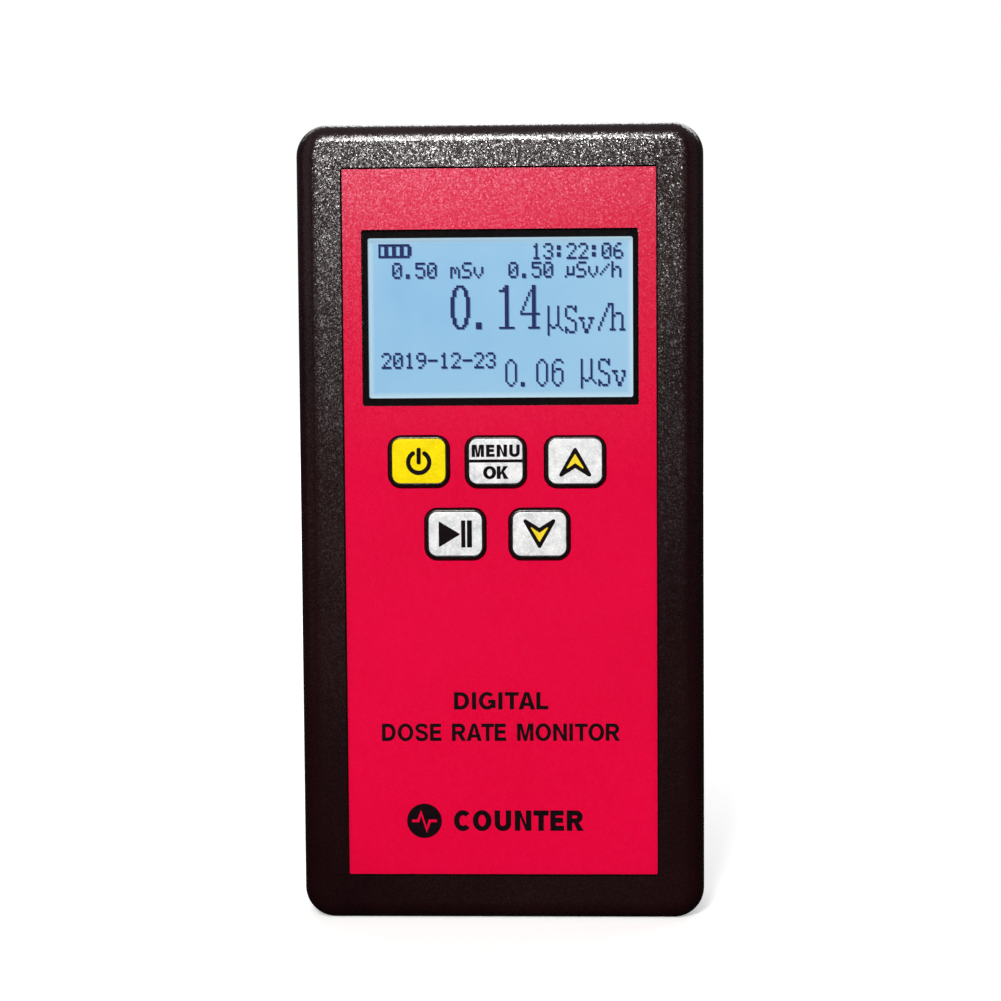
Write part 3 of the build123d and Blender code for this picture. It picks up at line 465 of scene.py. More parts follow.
def cell_material():
    """Shrink-sleeved dry cells: dark sleeve with a plain copper-coloured band at the positive third, bare metal ends."""
    m = Mat("cell_sleeve")
    x, y, z = m.xyz()
    mid = m.math("LESS_THAN", m.math("ABSOLUTE", x), 0.0055)          # the middle cell stands the other way up
    up = m.maprange(z, 0.0475, 0.0478, 0.0, 1.0)
    down = m.maprange(z, 0.0297, 0.0300, 1.0, 0.0)
    band = m.math("ADD", m.math("MULTIPLY", up, m.math("SUBTRACT", 1.0, mid)), m.math("MULTIPLY", down, mid))
    col = m.mix(band, lin(22, 24, 30), lin(196, 120, 52))
    seam = m.maprange(m.noise(1200.0, 2.0, 0.5, m.scaled(1, 1, 0.05)), 0.4, 0.6, 0.0, 1.0)
    col = m.mix(m.math("MULTIPLY", seam, 0.12), col, lin(120, 120, 126))
    low_end = m.maprange(z, 0.0194, 0.0196, 1.0, 0.0)
    high_end = m.maprange(z, 0.0622, 0.0624, 0.0, 1.0)
    mid_low = m.maprange(z, 0.0152, 0.0154, 1.0, 0.0)
    mid_high = m.maprange(z, 0.0580, 0.0582, 0.0, 1.0)
    ends = m.math("ADD", m.math("MULTIPLY", m.math("MAXIMUM", low_end, high_end), m.math("SUBTRACT", 1.0, mid)),
                  m.math("MULTIPLY", m.math("MAXIMUM", mid_low, mid_high), mid))
    col = m.mix(ends, col, (0.7, 0.7, 0.7, 1))
    m.set(color=col, metal=m.math("MAXIMUM", ends, m.math("MULTIPLY", band, 0.7)),
          rough=m.maprange(m.noise(900.0, 3.0), 0.3, 0.7, 0.2, 0.34), normal=m.bump(m.noise(700.0, 2.0), 8.0e-6))
    return m


CELLS = cell_material()

for names, m in (
    ("front_case", CASE),
    ("rear_case battery_door", CASE_REAR),
    ("front_label", LABEL),
    ("display_window", WINDOW),
    ("window_adhesive", BLACK_BORDER),
    ("lcd_gasket", FOAM),
    ("lcd_polariser lcd_glass", LCD),
    ("lcd_frame plunger_power plunger_menu plunger_up plunger_play plunger_down tact_switches coin_holder buzzer", BLACK_SMOOTH),
    ("mcu_chip memory_chip hv_diodes lcd_driver_chip", CHIP),
    ("lcd_backlight", BACKLIGHT),
    ("lcd_flex", FLEX),
    ("case_screws pcb_screws", SCREW),
    ("main_pcb", PCB),
    ("mcu_pins clock_crystal main_crystal coin_cell gm_end_caps", TINNED),
    ("tube_clips battery_contacts battery_springs gm_anode", NICKEL),
    ("gm_tube_glass", TUBE_GLASS),
    ("gm_cathode", CATHODE),
    ("hv_inductor_coil", COPPER),
    ("hv_inductor_core", FERRITE),
    ("hv_capacitors hv_resistors small_parts", EPOXY),
    ("filter_capacitors", CAN),
    ("batteries", CELLS),
    ("battery_connector", WHITE_PLASTIC),
    ("lead_red", RED_LEAD),
    ("lead_black", BLACK_LEAD),
    ("key_power", KEY_YELLOW),
    ("key_menu key_up key_play key_down", KEY_SILVER),
):
    for n in names.split():
        assign(NODES[n], m)


# --------------------------------------------------------------- mesh helpers
def new_object(name, verts, faces, m, smooth=False, mats=None, mat_index=None):
    me = bpy.data.meshes.new(name)
    me.from_pydata([tuple(v) for v in verts], [], faces)
    me.validate()
    me.update()
    ob = bpy.data.objects.new(name, me)
    scene.collection.objects.link(ob)
    for x in (mats or [m]):
        me.materials.append(x.mat if isinstance(x, Mat) else x)
    if mat_index is not None:
        me.polygons.foreach_set("material_index", mat_index)
    if smooth:
        me.polygons.foreach_set("use_smooth", [True] * len(me.polygons))
    return ob


def signed_area(p):
    return sum(p[i][0] * p[(i + 1) % len(p)][1] - p[(i + 1) % len(p)][0] * p[i][1] for i in range(len(p))) / 2


def plates(name, outlines, y_front, y_back, m):
    """Flat plates facing the front: each outline (x, z in mm) becomes one closed prism between two depths."""
    verts, faces = [], []
    for p in outlines:
        if signed_area(p) < 0:
            p = p[::-1]
        k, n = len(verts), len(p)
        verts += [(x * MM, y_front * MM, z * MM) for x, z in p]
        verts += [(x * MM, y_back * MM, z * MM) for x, z in p]
        faces.append(list(range(k, k + n)))
        faces.append(list(range(k + 2 * n - 1, k + n - 1, -1)))
        for i in range(n):
            j = (i + 1) % n
            faces.append([k + i, k + n + i, k + n + j, k + j])
    return new_object(name, verts, faces, m)


def rounded(points, r, steps=6):
    """Polygon with its corners rounded; r is one radius or one for each corner."""
    out, n = [], len(points)
    for i in range(n):
        p, a, b = Vector(points[i]), Vector(points[i - 1]), Vector(points[(i + 1) % n])
        rr = r[i] if isinstance(r, (list, tuple)) else r
        u, v = (a - p), (b - p)
        lu, lv = u.length, v.length
        u.normalize(); v.normalize()
        half = math.acos(max(-1, min(1, u.dot(v)))) / 2
        cut = min(rr / math.tan(half), lu * 0.49, lv * 0.49) if rr > 0 else 0
        if cut <= 1e-6:
            out.append(tuple(p)); continue
        rr = cut * math.tan(half)
        bis = (u + v).normalized()
        c = p + bis * (rr / math.sin(half))
        s, e = p + u * cut - c, p + v * cut - c
        a0, a1 = math.atan2(s.y, s.x), math.atan2(e.y, e.x)
        d = (a1 - a0 + math.pi) % (2 * math.pi) - math.pi
        for k in range(steps + 1):
            t = a0 + d * k / steps
            out.append((c.x + rr * math.cos(t), c.y + rr * math.sin(t)))
    return out


def rect(cx, cz, w, h, r=0.0, steps=6):
    return rounded([(cx - w / 2, cz - h / 2), (cx + w / 2, cz - h / 2), (cx + w / 2, cz + h / 2), (cx - w / 2, cz + h / 2)], r, steps)


def circle(cx, cz, r, n=48, a0=0.0, a1=360.0):
    return [(cx + r * math.cos(math.radians(a0 + (a1 - a0) * i / n)), cz + r * math.sin(math.radians(a0 + (a1 - a0) * i / n))) for i in range(n)]


def arc_band(cx, cz, r0, r1, a0, a1, n=48):
    """Part of a ring, from angle a0 to a1 in degrees, with rounded ends."""
    mid, half = (r0 + r1) / 2, (r1 - r0) / 2
    pts = []
    for i in range(n + 1):
        t = math.radians(a0 + (a1 - a0) * i / n)
        pts.append((cx + r1 * math.cos(t), cz + r1 * math.sin(t)))
    te = math.radians(a1)
    for i in range(1, 8):
        t = te + math.pi * i / 8
        pts.append((cx + mid * math.cos(te) + half * math.cos(t), cz + mid * math.sin(te) + half * math.sin(t)))
    for i in range(n + 1):
        t = math.radians(a1 + (a0 - a1) * i / n)
        pts.append((cx + r0 * math.cos(t), cz + r0 * math.sin(t)))
    ts = math.radians(a0)
    for i in range(1, 8):
        t = ts + math.pi + math.pi * i / 8
        pts.append((cx + mid * math.cos(ts) + half * math.cos(t), cz + mid * math.sin(ts) + half * math.sin(t)))
    return pts


def stroke(path, w):
    """Closed outline of a pen of width w drawn along a path, with mitred joints and square ends."""
    n = len(path)
    left, right = [], []
    for i in range(n):
        p = Vector(path[i])
        d0 = (p - Vector(path[i - 1])).normalized() if i > 0 else None
        d1 = (Vector(path[i + 1]) - p).normalized() if i < n - 1 else None
        if d0 is None:
            nrm, k = Vector((-d1.y, d1.x)), 1.0
        elif d1 is None:
            nrm, k = Vector((-d0.y, d0.x)), 1.0
        else:
            n0, n1 = Vector((-d0.y, d0.x)), Vector((-d1.y, d1.x))
            nrm = (n0 + n1).normalized()
            k = 1.0 / max(0.5, nrm.dot(n0))
        left.append(tuple(p + nrm * (w / 2 * k)))
        right.append(tuple(p - nrm * (w / 2 * k)))
    return left + right[::-1]


def arc_pts(cx, cz, rx, rz, a0, a1, n=20):
    return [(cx + rx * math.cos(math.radians(a0 + (a1 - a0) * i / n)), cz + rz * math.sin(math.radians(a0 + (a1 - a0) * i / n))) for i in range(n + 1)]


def smooth_path(pts, n=6):
    """Catmull-Rom through the points."""
    out = []
    for i in range(len(pts) - 1):
        p0, p1, p2, p3 = (Vector(pts[max(0, min(len(pts) - 1, i + k))]) for k in (-1, 0, 1, 2))
        for j in range(n):
            t = j / n
            out.append(tuple(0.5 * ((2 * p1) + (p2 - p0) * t + (2 * p0 - 5 * p1 + 4 * p2 - p3) * t * t + (3 * p1 - p0 - 3 * p2 + p3) * t ** 3)))
    out.append(tuple(pts[-1]))
    return out


def glyph(ch, t):
    """Width and closed loops of a plain bold capital one unit tall, drawn with stems t wide."""
    h = t / 2
    if ch == " ":
        return 0.36, []
    if ch == "I":
        return t, [[(0, 0), (t, 0), (t, 1), (0, 1)]]
    if ch == "L":
        return 0.60, [[(0, 0), (0.60, 0), (0.60, t), (t, t), (t, 1), (0, 1)]]
    if ch == "T":
        w, c = 0.70, 0.35
        return w, [[(c - h, 0), (c + h, 0), (c + h, 1 - t), (w, 1 - t), (w, 1), (0, 1), (0, 1 - t), (c - h, 1 - t)]]
    if ch == "E":
        w, m = 0.63, 0.52
        return w, [[(0, 0), (w, 0), (w, t), (t, t), (t, m - h), (w * 0.92, m - h), (w * 0.92, m + h), (t, m + h), (t, 1 - t), (w * 0.97, 1 - t), (w * 0.97, 1), (0, 1)]]
    if ch == "M":
        w = 0.90
        return w, [[(0, 0), (t * 0.95, 0), (t * 0.95, 0.70), (w / 2 - t * 0.44, 0), (w / 2 + t * 0.44, 0), (w - t * 0.95, 0.70), (w - t * 0.95, 0), (w, 0),
                    (w, 1), (w - t * 1.4, 1), (w / 2, 0.30), (t * 1.4, 1), (0, 1)]]
    if ch == "N":
        w = 0.76
        return w, [[(0, 0), (t, 0), (t, 0.67), (w - t * 1.05, 0), (w, 0), (w, 1), (w - t, 1), (w - t, 0.33), (t * 1.05, 1), (0, 1)]]
    if ch == "K":
        w = 0.78
        return w, [[(0, 0), (t, 0), (t, 0.27), (0.335, 0.425), (w - t * 1.22, 0), (w, 0), (0.475, 0.57), (w - 0.03, 1), (w - 0.03 - t * 1.22, 1), (t, 0.52), (t, 1), (0, 1)]]
    if ch == "A":
        w, top = 0.84, 0.80

        def inner(z):
            return 1.12 * t + (w / 2 - 1.12 * t) * z / top
        return w, [[(0, 0), (1.12 * t, 0), (inner(0.20), 0.20), (w - inner(0.20), 0.20), (w - 1.12 * t, 0), (w, 0), (w / 2 + 0.58 * t, 1), (w / 2 - 0.58 * t, 1)],
                   [(inner(0.20 + 0.85 * t), 0.20 + 0.85 * t), (w - inner(0.20 + 0.85 * t), 0.20 + 0.85 * t), (w / 2, top)]]
    if ch == "D":
        w = 0.76
        return w, [[(0, 0)] + arc_pts(0.36, 0.5, w - 0.36, 0.5, -90, 90) + [(0, 1)],
                   [(t, t)] + arc_pts(0.35, 0.5, w - 0.35 - t, 0.5 - t, -90, 90) + [(t, 1 - t)]]
    if ch == "O":
        w = 0.86
        return w, [arc_pts(w / 2, 0.5, w / 2, 0.515, 0, 360, 44)[:-1], arc_pts(w / 2, 0.5, w / 2 - t * 1.03, 0.515 - t * 0.94, 0, 360, 44)[:-1]]
    if ch == "C":
        w = 0.82
        return 0.74, [stroke(arc_pts(w / 2, 0.5, w / 2 - h, 0.515 - h, 43, 317, 36), t)]
    if ch == "G":
        w = 0.84
        path = arc_pts(w / 2, 0.5, w / 2 - h, 0.515 - h, 45, 318, 36) + [(w - h, 0.20), (w - h, 0.46), (w * 0.56, 0.46)]
        return w, [stroke(path, t * 0.97)]
    if ch == "S":
        w = 0.70
        k = (0.515 - h)
        pts = [(0.70 - h * 0.9, 0.735), (0.53, 0.5 + k * 0.93), (0.35, 0.5 + k), (0.17, 0.5 + k * 0.90), (h * 0.95, 0.735), (0.18, 0.60),
               (0.35, 0.525), (0.53, 0.44), (0.70 - h * 0.9, 0.285), (0.54, 0.5 - k * 0.90), (0.35, 0.5 - k), (0.16, 0.5 - k * 0.91), (h * 0.85, 0.285)]
        return w, [stroke(smooth_path(pts), t * 0.94)]
    if ch == "R":
        w = 0.78
        return w, [[(0, 0), (t, 0), (t, 0.385), (0.325, 0.385), (w - t * 1.2, 0), (w, 0), (0.55, 0.40)] + arc_pts(0.44, 0.69, 0.29, 0.31, -66, 90, 18) + [(0, 1)],
                   [(t, 0.385 + t * 0.92)] + arc_pts(0.42, (1 - t + 0.385 + t * 0.92) / 2, 0.31 - t, (1 - t - 0.385 - t * 0.92) / 2, -90, 90, 14) + [(t, 1 - t)]]
    if ch == "U":
        w = 0.76
        return w, [stroke([(h, 1)] + arc_pts(w / 2, 0.36, w / 2 - h, 0.375 - h, 180, 360, 24) + [(w - h, 1)], t)]
    raise ValueError(ch)


def filled(name, loops, y_front, thick, m):
    """Thin closed plate facing the front from 2-D loops in mm; inner loops are holes."""
    cu = bpy.data.curves.new(name, "CURVE")
    cu.dimensions, cu.fill_mode, cu.extrude = "2D", "BOTH", thick / 2
    for lp in loops:
        sp = cu.splines.new("POLY")
        sp.points.add(len(lp) - 1)
        for k, (x, z) in enumerate(lp):
            sp.points[k].co = (x, z, 0, 1)
        sp.use_cyclic_u = True
    tmp = bpy.data.objects.new(name, cu)
    scene.collection.objects.link(tmp)
    bpy.context.view_layer.update()
    me = bpy.data.meshes.new_from_object(tmp.evaluated_get(bpy.context.evaluated_depsgraph_get()))
    bpy.data.objects.remove(tmp)
    bpy.data.curves.remove(cu)
    for v in me.vertices:
        u, w, h = v.co
        v.co = (u * MM, (y_front + thick / 2 - h) * MM, w * MM)
    bm = bmesh.new()
    bm.from_mesh(me)
    bmesh.ops.remove_doubles(bm, verts=bm.verts, dist=1e-7)
    bmesh.ops.recalc_face_normals(bm, faces=bm.faces)
    bm.to_mesh(me)
    bm.free()
    me.name = name
    me.materials.clear()
    me.materials.append(m.mat)
    for p in me.polygons:
        p.material_index = 0
        p.use_smooth = False
    ob = bpy.data.objects.new(name, me)
    scene.collection.objects.link(ob)
    return ob


OPEN_SIDE = {"A": 0.09, "T": 0.07, "L": 0.05, "C": 0.02, "O": 0.02, "G": 0.02, "R": 0.02, "E": 0.02, " ": 0.0}


def lettering(name, text, x0, x1, z0, z1, y_front, thick, m, t=0.19, stretch=1.0):
    """Bold capitals whose spacing is chosen so that the line fills x0..x1, closed up where a letter leaves room."""
    cap = z1 - z0
    gl = [glyph(c, t) for c in text]
    kern = [OPEN_SIDE.get(p, 0.0) * (0.3 if q == "I" else 1.0) + (0.0 if q == "L" else OPEN_SIDE.get(q, 0.0)) * (0.3 if p == "I" else 1.0)
            for p, q in zip(text, text[1:])] + [0.0]
    sx = cap * stretch
    gap = ((x1 - x0) - (sum(w for w, _ in gl) - sum(kern)) * sx) / (len(gl) - 1)
    loops, x = [], x0
    for (w, lps), k in zip(gl, kern):
        loops += [[(x + u * sx, z0 + v * cap) for u, v in lp] for lp in lps]
        x += (w - k) * sx + gap
    return filled(name, loops, y_front, thick, m)


# ------------------------------------------------------------------ front label
lab_lo, lab_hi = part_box("front_label")
LABEL_Y = lab_lo.y / MM
INK_Y, INK_T = LABEL_Y - 0.012, 0.02

for ob in (
    lettering("print_line_1", "DIGITAL", -9.2, 8.6, 40.2, 43.5, INK_Y, INK_T, INK, 0.21, 1.14),
    lettering("print_line_2", "DOSE RATE MONITOR", -22.9, 22.1, 34.2, 37.5, INK_Y, INK_T, INK, 0.20, 1.04),
    lettering("print_line_3", "COUNTER", -9.4, 15.2, 17.0, 20.9, INK_Y, INK_T, INK, 0.25, 1.06),
):
    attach(ob, "case")


def label_joint_and_shade():
    """Dark joint between the label's edge and its recess, widened with painted shade: the black strip also covers the
    label's edge where the recess casts its shadow.
    """
    cx, cz = (lab_lo.x + lab_hi.x) / 2 / MM, (lab_lo.z + lab_hi.z) / 2 / MM
    w, h = (lab_hi.x - lab_lo.x) / MM, (lab_hi.z - lab_lo.z) / MM
    # painted shade: the strip runs 0.08 mm over the label's edge as the recess's shadow
    ob = filled("label_joint_and_shade", [rect(cx, cz, w + 0.36, h + 0.36, 0.5), rect(cx, cz, w - 0.16, h - 0.16, 0.2)], INK_Y, INK_T, BLACK_BORDER)
    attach(ob, "case")


label_joint_and_shade()


def emblem():
    """Plain round badge: a solid disc with a pulse line left open across it."""
    cx, cz, r = -15.0, 18.9, 3.3
    line = [(-2.35, 0.0), (-1.15, 0.0), (-0.62, 1.55), (0.42, -1.75), (0.98, 0.0), (2.35, 0.0)]
    ob = filled("print_badge", [circle(cx, cz, r, 64), stroke([(cx + x, cz + z) for x, z in line], 0.55)], INK_Y, INK_T, INK)
    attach(ob, "case")


emblem()


# -------------------------------------------------------------------- display
SMALL = {
    "0": [".###.", "#...#", "#..##", "#.#.#", "##..#", "#...#", ".###."],
    "1": ["..#..", ".##..", "..#..", "..#..", "..#..", "..#..", ".###."],
    "2": [".###.", "#...#", "....#", "...#.", "..#..", ".#...", "#####"],
    "3": [".###.", "#...#", "....#", "..##.", "....#", "#...#", ".###."],
    "5": ["#####", "#....", "####.", "....#", "....#", "#...#", ".###."],
    "6": ["..##.", ".#...", "#....", "####.", "#...#", "#...#", ".###."],
    "9": [".###.", "#...#", "#...#", ".####", "....#", "...#.", ".##.."],
    "-": [".....", ".....", ".....", "#####", ".....", ".....", "....."],
    ":": [".....", ".##..", ".##..", ".....", ".##..", ".##..", "....."],
    ".": [".....", ".....", ".....", ".....", ".....", ".##..", ".##.."],
    " ": ["....."] * 7,
    "m": [".....", ".....", "##.#.", "#.#.#", "#.#.#", "#...#", "#...#"],
    "S": [".####", "#....", "#....", ".###.", "....#", "....#", "####."],
    "v": [".....", ".....", "#...#", "#...#", "#...#", ".#.#.", "..#.."],
    "u": [".....", ".....", ".#..#", ".#..#", ".#..#", ".####", "#...."],
    "/": [".....", "....#", "...#.", "..#..", ".#...", "#....", "....."],
    "h": ["#....", "#....", "#.##.", "##..#", "#...#", "#...#", "#...#"],
}
MEDIUM = {
    "0": ["...##...", "..#..#..", ".#....#.", ".#....#.", ".#....#.", ".#....#.", ".#....#.", ".#....#.", ".#....#.", ".#....#.", "..#..#..", "...##..."],
    "6": ["...###..", "..#...#.", ".#......", ".#......", ".#.###..", ".##...#.", ".#....#.", ".#....#.", ".#....#.", ".#....#.", "..#..#..", "...##..."],
    ".": ["........"] * 10 + [".##.....", ".##....."],
    " ": ["........"] * 13,
    "u": ["#....#..", "#....#..", "#....#..", "#....#..", "#....#..", "#....#..", "#....#..", "#....#..", "##..##..", "#.##..#.", "#......#", "#.......", "#......."],
    "S": ["..###.#.", ".#...##.", ".#....#.", ".#......", ".#......", "..##....", "....##..", "......#.", "......#.", ".#....#.", ".##...#.", ".#.###..", "........"],
    "v": ["........"] * 5 + ["###..###", ".#....#.", "..#...#.", "..#..#..", "..#..#..", "...##...", "...##...", "........"],
    "/": ["......#.", "......#.", ".....#..", ".....#..", "....#...", "....#...", "...#....", "...#....", "..#.....", "..#.....", ".#......", ".#......", "........"],
    "h": ["##......", ".#......", ".#......", ".#......", ".#.###..", ".##...#.", ".#....#.", ".#....#.", ".#....#.", ".#....#.", ".#....#.", "###..###", "........"],
}


BIG_ROWS = 19


def big_zero():
    rows = []
    for j in range(BIG_ROWS):
        t = (j + 0.5 - BIG_ROWS / 2) / (BIG_ROWS / 2)
        half = 4.75 * math.sqrt(max(0.0, 1 - abs(t) ** 2.2))
        row = ""
        for i in range(10):
            d = abs(i + 0.5 - 5.0)
            row += "#" if half - 1.75 <= d <= half + 0.25 or (j in (0, BIG_ROWS - 1) and d <= 1.6) else "."
        rows.append(row)
    return rows


def big_one():
    rows = []
    for j in range(BIG_ROWS):
        row = list(".........")
        row[4] = row[5] = "#"
        if j == 1:
            row[3] = "#"
        if j == 2:
            row[1] = row[2] = row[3] = "#"
        if j == BIG_ROWS - 1:
            row = list(".########")
        rows.append("".join(row))
    return rows


def big_four():
    rows = []
    for j in range(BIG_ROWS):
        row = list("..........")
        row[6] = row[7] = "#"
        if 1 <= j <= 11:
            row[max(0, round(5.6 - (j - 1) * 5.6 / 10))] = "#"
        if j == 12:
            row = list("##########")
        if j == BIG_ROWS - 1:
            row = list("....######")
        rows.append("".join(row))
    return rows


BIG = {"0": big_zero(), "1": big_one(), "4": big_four(), ".": ["........."] * 16 + ["###......"] * 3}


def dots_of(text, font, col, row, advance):
    out = []
    for ch in text:
        for j, line in enumerate(font[ch]):
            for i, c in enumerate(line):
                if c == "#":
                    out.append((col + i, row + j))
        col += advance
    return out


def display_dots():
    px, pz = 46.58 / 128, 27.70 / 64
    x_left, z_top = -46.58 / 2 + 0.05, 114.0 + 27.70 / 2
    dots = []
    for c in range(1, 17):
        dots += [(c, 0), (c, 5)]
    for r in range(1, 5):
        dots += [(1, r), (16, r)]
        dots += [(c, r) for c in (4, 5, 8, 9, 12, 13)]
    dots += [(17, r) for r in (1, 2, 3, 4)]
    dots += dots_of("13:22:06", SMALL, 80, 0, 6)
    dots += dots_of("0.50 mSv", SMALL, 8, 8, 6)
    dots += dots_of("0.50", SMALL, 68, 8, 6) + dots_of("u", SMALL, 97, 8, 6) + dots_of("Sv/h", SMALL, 103, 8, 6)
    dots += dots_of("0", BIG, 38, 18, 12) + dots_of(".", BIG, 51, 18, 12)
    dots += dots_of("1", BIG, 62, 18, 12) + dots_of("4", BIG, 74, 18, 12)
    dots += dots_of("uSv", MEDIUM, 88, 27, 8) + dots_of("/", MEDIUM, 113, 26, 8) + dots_of("h", MEDIUM, 120, 26, 8)
    dots += dots_of("2019-12-23", SMALL, 2, 47, 6)
    dots += dots_of("0.06 uSv", MEDIUM, 65, 50, 8)
    dots = sorted(set(d for d in dots if 0 <= d[0] < 128 and 0 <= d[1] < 64))
    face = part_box("lcd_polariser")[0].y / MM
    squares = []
    for c, r in dots:
        x0, z0 = x_left + c * px, z_top - r * pz
        squares.append([(x0 + 0.008, z0 - pz + 0.01), (x0 + px - 0.008, z0 - pz + 0.01), (x0 + px - 0.008, z0 - 0.01), (x0 + 0.008, z0 - 0.01)])
    ob = plates("lcd_lit_dots", squares, face - 0.045, face - 0.025, LCD_INK)
    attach(ob, "case")
    # the dots' soft shadow on the diffuser behind the glass
    shade = []
    for c, r in dots:
        x0, z0 = x_left + c * px + 0.17, z_top - r * pz - 0.15
        shade.append([(x0, z0 - pz), (x0 + px, z0 - pz), (x0 + px, z0), (x0, z0)])
    ob = plates("lcd_dot_shadows", shade, face - 0.018, face - 0.006, LCD_SHADE)
    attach(ob, "case")


display_dots()


# ----------------------------------------------------------------------- keys
def ring_points(cx, cz, w, h, r, n_corner=9, n_x=10, n_z=8):
    """Rounded rectangle with the same number of points whatever its size, anticlockwise seen from the front."""
    pts = []
    hw, hh = w / 2, h / 2
    r = min(r, hw - 0.01, hh - 0.01)
    corners = ((hw - r, hh - r, 0), (-hw + r, hh - r, 90), (-hw + r, -hh + r, 180), (hw - r, -hh + r, 270))
    for k, (ox, oz, a) in enumerate(corners):
        for i in range(n_corner):
            t = math.radians(a + 90 * i / (n_corner - 1))
            pts.append((cx + ox + r * math.cos(t), cz + oz + r * math.sin(t)))
        nx, nz, na = corners[(k + 1) % 4]
        t = math.radians(a + 90)
        sx, sz = ox + r * math.cos(t), oz + r * math.sin(t)
        t = math.radians(na)
        ex, ez = nx + r * math.cos(t), nz + r * math.sin(t)
        n = n_x if k % 2 == 0 else n_z
        for i in range(1, n):
            f = i / n
            pts.append((cx + sx + (ex - sx) * f, cz + sz + (ez - sz) * f))
    return pts


KEY_W, KEY_L, KEY_R, TOP_Y = 11.5, 9.75, 2.4, -14.0


def key_rings(kx, kz, steps, close_front, top=0.6):
    """Loft through (inset, depth) steps, from the back forwards; closed at the back, and at the front if asked.

    The lip is thinner along the top (by the factor given) and a little thinner at the sides."""
    verts, faces = [], []
    n = None
    for inset, y in steps:
        rr = max(0.25, KEY_R - inset)
        at_top, at_side = (inset * top, inset * 0.87) if inset > 0 else (inset, inset)
        ring = ring_points(kx, kz + (inset - at_top) / 2, KEY_W - 2 * at_side, KEY_L - inset - at_top, rr)
        n = len(ring)
        verts += [(x * MM, y * MM, z * MM) for x, z in ring]
    for s in range(len(steps) - 1):
        for i in range(n):
            j = (i + 1) % n
            faces.append([s * n + i, s * n + j, (s + 1) * n + j, (s + 1) * n + i][::-1])
    last = (len(steps) - 1) * n
    if close_front:
        k = len(verts)
        verts.append((kx * MM, steps[-1][1] * MM, kz * MM))
        for i in range(n):
            faces.append([last + (i + 1) % n, last + i, k])
    k = len(verts)
    verts.append((kx * MM, steps[0][1] * MM, kz * MM))
    for i in range(n):
        faces.append([i, (i + 1) % n, k])
    return verts, faces, n


def build_key(node, face_mat):
    lo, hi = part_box(node)
    kx, kz = (lo.x + hi.x) / 2 / MM, (lo.z + hi.z) / 2 / MM
    body = node + "_body"
    top = 0.74 if node in ("key_play", "key_down") else 0.58
    # black moulded skirt: straight sides, a rolled shoulder and a shallow lip round the face film
    prof = [(0.0, -11.15), (0.0, -13.20), (0.02, -13.42)]
    for i in range(1, 9):
        t = math.radians(90 * i / 8)
        prof.append((0.05 + 0.62 * (1 - math.cos(t)), -13.45 - 0.50 * math.sin(t)))
    prof += [(0.76, -13.965), (0.82, -13.955), (0.86, -13.93), (0.88, -13.88), (0.90, -13.80)]
    v, f, n = key_rings(kx, kz, prof, True, top)
    skirt = new_object(node + "_skirt", v, f, RIM, smooth=True)
    # retaining flange and stem behind the wall
    flange_prof = [(-0.62, -10.42), (-0.70, -10.50), (-0.70, -11.10), (-0.62, -11.18)]
    v, f, n = key_rings(kx, kz, flange_prof, True)
    flange = new_object(node + "_flange", v, f, RIM, smooth=False)
    stem_v, stem_f = [], []
    for r, y in ((1.85, -9.47), (2.0, -9.62), (2.0, -10.45)):
        stem_v += [(x * MM, y * MM, z * MM) for x, z in circle(kx, kz, r, 40)]
    for s in range(2):
        for i in range(40):
            j = (i + 1) % 40
            stem_f.append([s * 40 + i, (s + 1) * 40 + i, (s + 1) * 40 + j, s * 40 + j])
    stem_f.append(list(range(40)))
    stem_f.append(list(range(119, 79, -1)))
    stem = new_object(node + "_stem", stem_v, stem_f, RIM)
    # coloured face film, gently crowned
    crown = [(0.885, -13.82), (0.885, -13.90), (0.90, -13.935), (0.95, -13.955), (1.05, -13.965), (1.3, -13.972), (1.7, -13.979), (2.2, -13.985), (3.0, -13.99), (3.9, -13.994)]
    v, f, n = key_rings(kx, kz, crown, True, top)
    face = new_object(node + "_face", v, f, face_mat, smooth=True)
    for ob, sl in ((skirt, "black_plastic"), (flange, "black_plastic"), (stem, "black_plastic"),
                   (face, "key_yellow" if node == "key_power" else "key_plastic")):
        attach(ob, body)
    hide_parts(node)
    return kx, kz, body


def icon(name, outlines, body, m=INK, y=-13.998, t=0.03):
    ob = plates(name, outlines, y, y + t, m)
    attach(ob, body)
    return ob


kx, kz, body = build_key("key_power", KEY_YELLOW)
cz = kz - 0.06
icon("icon_power", [arc_band(kx, cz, 1.56, 2.4, 90 + 33, 450 - 33, 60), rect(kx, kz + 1.10, 0.80, 3.15, 0.32)], body)

kx, kz, body = build_key("key_menu", KEY_SILVER)
icon("icon_divider", [rect(kx, kz + 0.22, KEY_W - 1.55, 0.58, 0.0)], body, y=-13.996)
for ob in (
    lettering("icon_menu", "MENU", kx - 4.5, kx + 4.5, kz + 0.98, kz + 3.28, -13.998, 0.03, INK, 0.255, 1.12),
    lettering("icon_ok", "OK", kx - 2.4, kx + 2.4, kz - 3.15, kz - 0.75, -13.998, 0.03, INK, 0.255, 1.2),
):
    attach(ob, body)


def arrow(kx, kz, flip, body, name):
    """Notched arrowhead: dark outline with a yellow middle."""
    def pts(w, top, low, notch):
        p = [(-w / 2, low), (0, notch), (w / 2, low), (0, top)]
        return [(kx + x, kz + (z if not flip else -z)) for x, z in p]
    icon(name + "_outline", [rounded(pts(7.3, 3.05, -3.45, -1.15), [0.36, 0.1, 0.36, 0.36])], body)
    icon(name + "_fill", [rounded(pts(3.6, 1.55, -1.45, -0.20), [0.1, 0.05, 0.1, 0.1])], body, ICON_YELLOW, y=-13.9995, t=0.02)


